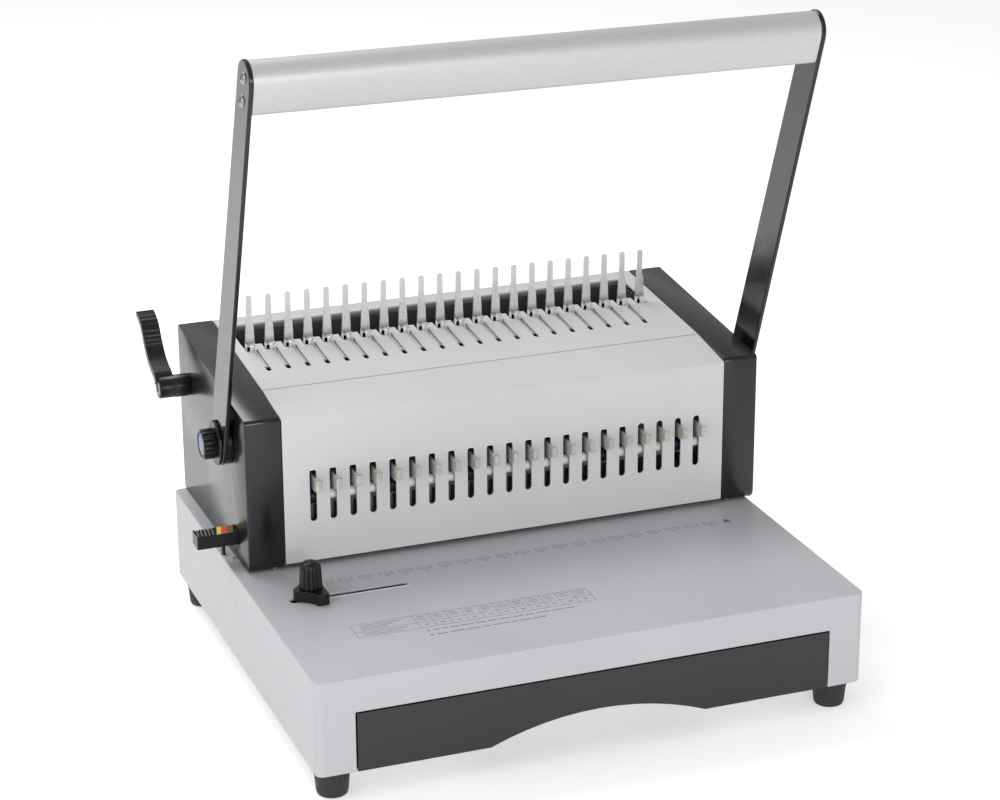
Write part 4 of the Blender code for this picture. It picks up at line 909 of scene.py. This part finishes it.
def make_chart():
    """A generic ruled chart: a header cell, columns with small samples, and plain rules."""
    bm = bmesh.new()
    left, right, rear, front = CHART_LEFT, CHART_RIGHT, CHART_REAR, CHART_FRONT
    header = left + HEADER_WIDTH
    middle = (rear + front) / 2 - 0.0015
    columns, thin = CHART_COLUMNS, CHART_LINE
    for y in (rear, middle, front):
        add_stroke(bm, (left, y), (right, y), thin)
    for x in (left, header, right):
        add_stroke(bm, (x, rear), (x, front), thin)
    width = (right - header) / columns
    for column in range(columns):
        x = header + column * width
        if column:
            add_stroke(bm, (x, rear), (x, front), thin)
        for row in range(3):
            y = rear - 0.0024 - row * 0.0026
            reach = width * random.uniform(0.45, 0.72)
            add_stroke(bm, (x + width * 0.16, y), (x + width * 0.16 + reach, y), 0.0007)
        y = (middle + front) / 2
        add_stroke(bm, (x + width * 0.34, y), (x + width * 0.62, y), 0.0012)
    for row, share in ((0, 0.9), (1, 0.7), (2, 0.55)):
        y = rear - 0.0028 - row * 0.0028
        add_stroke(bm, (left + 0.006, y), (left + 0.006 + 0.032 * share, y), 0.0007)
    for row, share in ((0, 0.95), (1, 0.8)):
        y = middle - 0.0028 - row * 0.0030
        add_stroke(bm, (left + 0.005, y), (left + 0.005 + 0.032 * share, y), 0.0007)
    make_piece("ruled_chart", bm, "frame", "pale_paint", "faint_ink")
    bm = bmesh.new()
    for row, (start, end) in enumerate(((-0.1020, 0.0000), (-0.1020, -0.0250))):
        y = front - 0.0052 - row * 0.0070
        add_turned(bm, [(0, HAIR), (0.0011, HAIR), (0.0011, -HAIR), (0, -HAIR)],
                   (start - 0.0035, y, 0), steps=16)
        x = start
        while x < end:
            reach = random.uniform(0.004, 0.011)
            add_stroke(bm, (x, y), (min(x + reach, end), y), 0.0011)
            x += reach + 0.0016
    make_piece("chart_rules", bm, "frame", "pale_paint", "faint_ink")


LIP_FROM_AXIS, SLOT_END_FROM_AXIS, LIP_FRONT, LIP_WIDTH = 0.0105, 0.0680, 0.0041, 0.0014


def make_guide_slot_highlight():
    """A pale strip along the guide slot's front edge: a painted highlight."""
    slot_left, slot_right = guide_axis.x + LIP_FROM_AXIS, guide_axis.x + SLOT_END_FROM_AXIS
    front = guide_axis.y - LIP_FRONT
    bm = bmesh.new()
    outline = [(slot_left, front), (slot_right - 0.0006, front), (slot_right, front + 0.0007)]
    outline += [(slot_right, front + LIP_WIDTH), (slot_left, front + LIP_WIDTH)]
    add_prism(bm, outline, "XY", -HAIR, HAIR)
    make_piece("guide_slot_highlight", bm, "frame", "pale_paint", "slot_highlight")


CREASE_Y, CREASE_Z, CREASE_SHADE_HALF = 0.045, 0.1159, 0.00040


def make_crease_shade_line():
    """The fine dark line where the cover's top bends: painted shade in the crease."""
    crease_y, crease_z, half = CREASE_Y, CREASE_Z, CREASE_SHADE_HALF
    bm = bmesh.new()
    outline = [(crease_y - half, crease_z - 0.0002), (crease_y + half, crease_z - 0.0002)]
    outline += [(crease_y + half, crease_z + 0.00008), (crease_y - half, crease_z + 0.00004)]
    add_prism(bm, outline, "YZ", cover_low.x + 0.0004, cover_high.x - 0.0004)
    make_piece("crease_shade_line", bm, "frame", "pale_paint", "crease_shade")


# --- Feet ----------------------------------------------------------------------------------
def make_feet():
    """Four tapered rubber feet, hollow underneath."""
    for name in ("front_left", "front_right", "rear_left", "rear_right"):
        low, high = machine_box(f"foot_{name}")
        centre = ((low.x + high.x) / 2, (low.y + high.y) / 2, 0)
        profile = [(0, high.z), (0.0116, high.z), (0.0124, high.z - 0.0008)]
        profile += [(0.0122, high.z - 0.0050), (0.0116, high.z - 0.0056), (0.0106, low.z + 0.0030)]
        profile += [(0.0103, low.z + 0.0014), (0.0098, low.z + 0.0004), (0.0088, low.z)]
        profile += [(0.0040, low.z), (0.0036, low.z + 0.0030), (0, low.z + 0.0030)]
        bm = bmesh.new()
        add_turned(bm, profile, centre, steps=56)
        make_piece(f"{name}_foot_moulded", bm, "frame", "foot_rubber", replaced=[f"foot_{name}"])


# --- Fasteners that hold the housing together ----------------------------------------------
def add_pan_head(bm, place, axis, side, radius=0.0034, height=0.0016):
    """A plain pan-head screw, standing on a face along an axis."""
    profile = [(0, side * height), (radius * 0.55, side * height * 0.96)]
    profile += [(radius * 0.86, side * height * 0.70), (radius, side * height * 0.22)]
    profile += [(radius, -side * 0.0003), (0, -side * 0.0003)]
    add_turned(bm, profile, place, axis, 24)


REAR_SCREW_X, REAR_SCREW_Z = (-0.150, -0.075, 0.0, 0.075, 0.150), (0.012, 0.110)
UNDERSIDE_SCREW_X, UNDERSIDE_SCREW_Y = (-0.188, -0.095, 0.085, 0.176), (-0.120, 0.020, 0.150)


def make_housing_screws():
    """Pan-head screws in the cover's rear and in the bottom plate."""
    bm = bmesh.new()
    rear = cover_high.y
    for x in REAR_SCREW_X:
        for z in REAR_SCREW_Z:
            ring = bmesh.new()
            add_pan_head(ring, (x, 0, z), "Z", 1)
            turn = Matrix.Translation((x, rear, z)) @ Matrix.Rotation(-math.pi / 2, 4, "X")
            bmesh.ops.transform(ring, matrix=turn @ Matrix.Translation((-x, 0, -z)), verts=ring.verts)
            mesh = bpy.data.meshes.new("head")
            ring.to_mesh(mesh)
            ring.free()
            bm.from_mesh(mesh)
            bpy.data.meshes.remove(mesh)
    make_piece("rear_cover_screws", bm, "frame", "bright_steel", "screw")
    bm = bmesh.new()
    low, high = machine_box("bottom_plate")
    for x in UNDERSIDE_SCREW_X:
        for y in UNDERSIDE_SCREW_Y:
            add_pan_head(bm, (x, y, low.z), "Z", -1)
    make_piece("underside_screws", bm, "frame", "bright_steel", "screw")


# --- Floor, light and camera ----------------------------------------------------------------
FLOOR_CLEARANCE = 0.0002
FLOOR_LEFT, FLOOR_RIGHT, FLOOR_FRONT, FLOOR_REAR = -9, 9, -6, 12
SURROUND_STRENGTH = 0.50
SOFTBOXES = (
    # name, place, aim, size, watts
    ("left_softbox", (-1.3, -0.6, 0.9), (0, 0, 0.1), (1.2, 1.0), 7.0),
    ("front_softbox", (-0.2, -2.2, 0.70), (0, 0, 0.2), (1.2, 0.7), 18.0),
    ("rear_softbox", (-0.5, 1.1, 1.7), (-0.1, 0, 0.1), (1.2, 1.0), 24.0),
)
SENSOR_WIDTH_MM, LENS_MM = 36.0, 97.39
CAMERA_PLACE = (-0.62129, -1.65260, 0.83155)
CAMERA_RIGHT = Vector((0.934632, -0.355590, -0.004335))
CAMERA_DOWN = Vector((-0.126038, -0.319830, -0.939054))
CAMERA_AHEAD = Vector((0.332532, 0.878217, -0.343742))
FLOOR_GLOW = 0.42


def make_floor():
    """One plain pale floor that takes the machine's shadow, with an even glow of its own."""
    floor_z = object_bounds()[0][2]
    mesh = bpy.data.meshes.new("studio_floor")
    corners = [(FLOOR_LEFT, FLOOR_FRONT, 0), (FLOOR_RIGHT, FLOOR_FRONT, 0)]
    corners += [(FLOOR_RIGHT, FLOOR_REAR, 0), (FLOOR_LEFT, FLOOR_REAR, 0)]
    mesh.from_pydata(corners, [], [(0, 1, 2, 3)])
    floor = bpy.data.objects.new("studio_floor", mesh)
    floor.location = (0, 0, floor_z - FLOOR_CLEARANCE)
    scene.collection.objects.link(floor)
    material = bpy.data.materials.new("pale_studio_floor")
    material.use_nodes = True
    shader = material.node_tree.nodes["Principled BSDF"]
    shader.inputs["Base Color"].default_value = (0.80, 0.80, 0.80, 1)
    shader.inputs["Roughness"].default_value = 0.9
    shader.inputs["Specular IOR Level"].default_value = 0.0
    shader.inputs["Emission Color"].default_value = (1, 1, 1, 1)
    shader.inputs["Emission Strength"].default_value = FLOOR_GLOW
    mesh.materials.append(material)


def make_area_light(name, place, aim, size, power):
    light = bpy.data.lights.new(name, "AREA")
    light.shape = "RECTANGLE"
    light.size, light.size_y = size
    light.energy = power
    obj = bpy.data.objects.new(name, light)
    obj.location = place
    obj.rotation_euler = (Vector(aim) - Vector(place)).to_track_quat("-Z", "Y").to_euler()
    scene.collection.objects.link(obj)


def make_light():
    world = bpy.data.worlds.new("studio_surround")
    scene.world = world
    world.use_nodes = True
    background = world.node_tree.nodes["Background"]
    background.inputs["Color"].default_value = (0.985, 0.99, 1.0, 1)
    background.inputs["Strength"].default_value = SURROUND_STRENGTH
    for softbox in SOFTBOXES:
        make_area_light(*softbox)


def make_camera():
    """A long lens from the front left, looking down on the machine."""
    camera = bpy.data.cameras.new("photo_camera")
    camera.sensor_width = SENSOR_WIDTH_MM
    camera.lens = LENS_MM
    obj = bpy.data.objects.new("photo_camera", camera)
    camera_right, camera_up, camera_back = CAMERA_RIGHT, -CAMERA_DOWN, -CAMERA_AHEAD
    obj.rotation_euler = Matrix((camera_right, camera_up, camera_back)).transposed().to_euler()
    obj.location = CAMERA_PLACE
    scene.collection.objects.link(obj)
    scene.camera = obj


make_camera()
keep_cad_nodes()
make_fingers()
make_edge_guide()
make_slider_marks()
make_arm_screws()
make_pivot_trim()
make_comb_lever()
make_press_clamps()
make_hole_marks()
make_chart()
make_guide_slot_highlight()
make_crease_shade_line()
make_feet()
make_housing_screws()
make_light()
make_floor()
scene.view_settings.view_transform = "Standard"
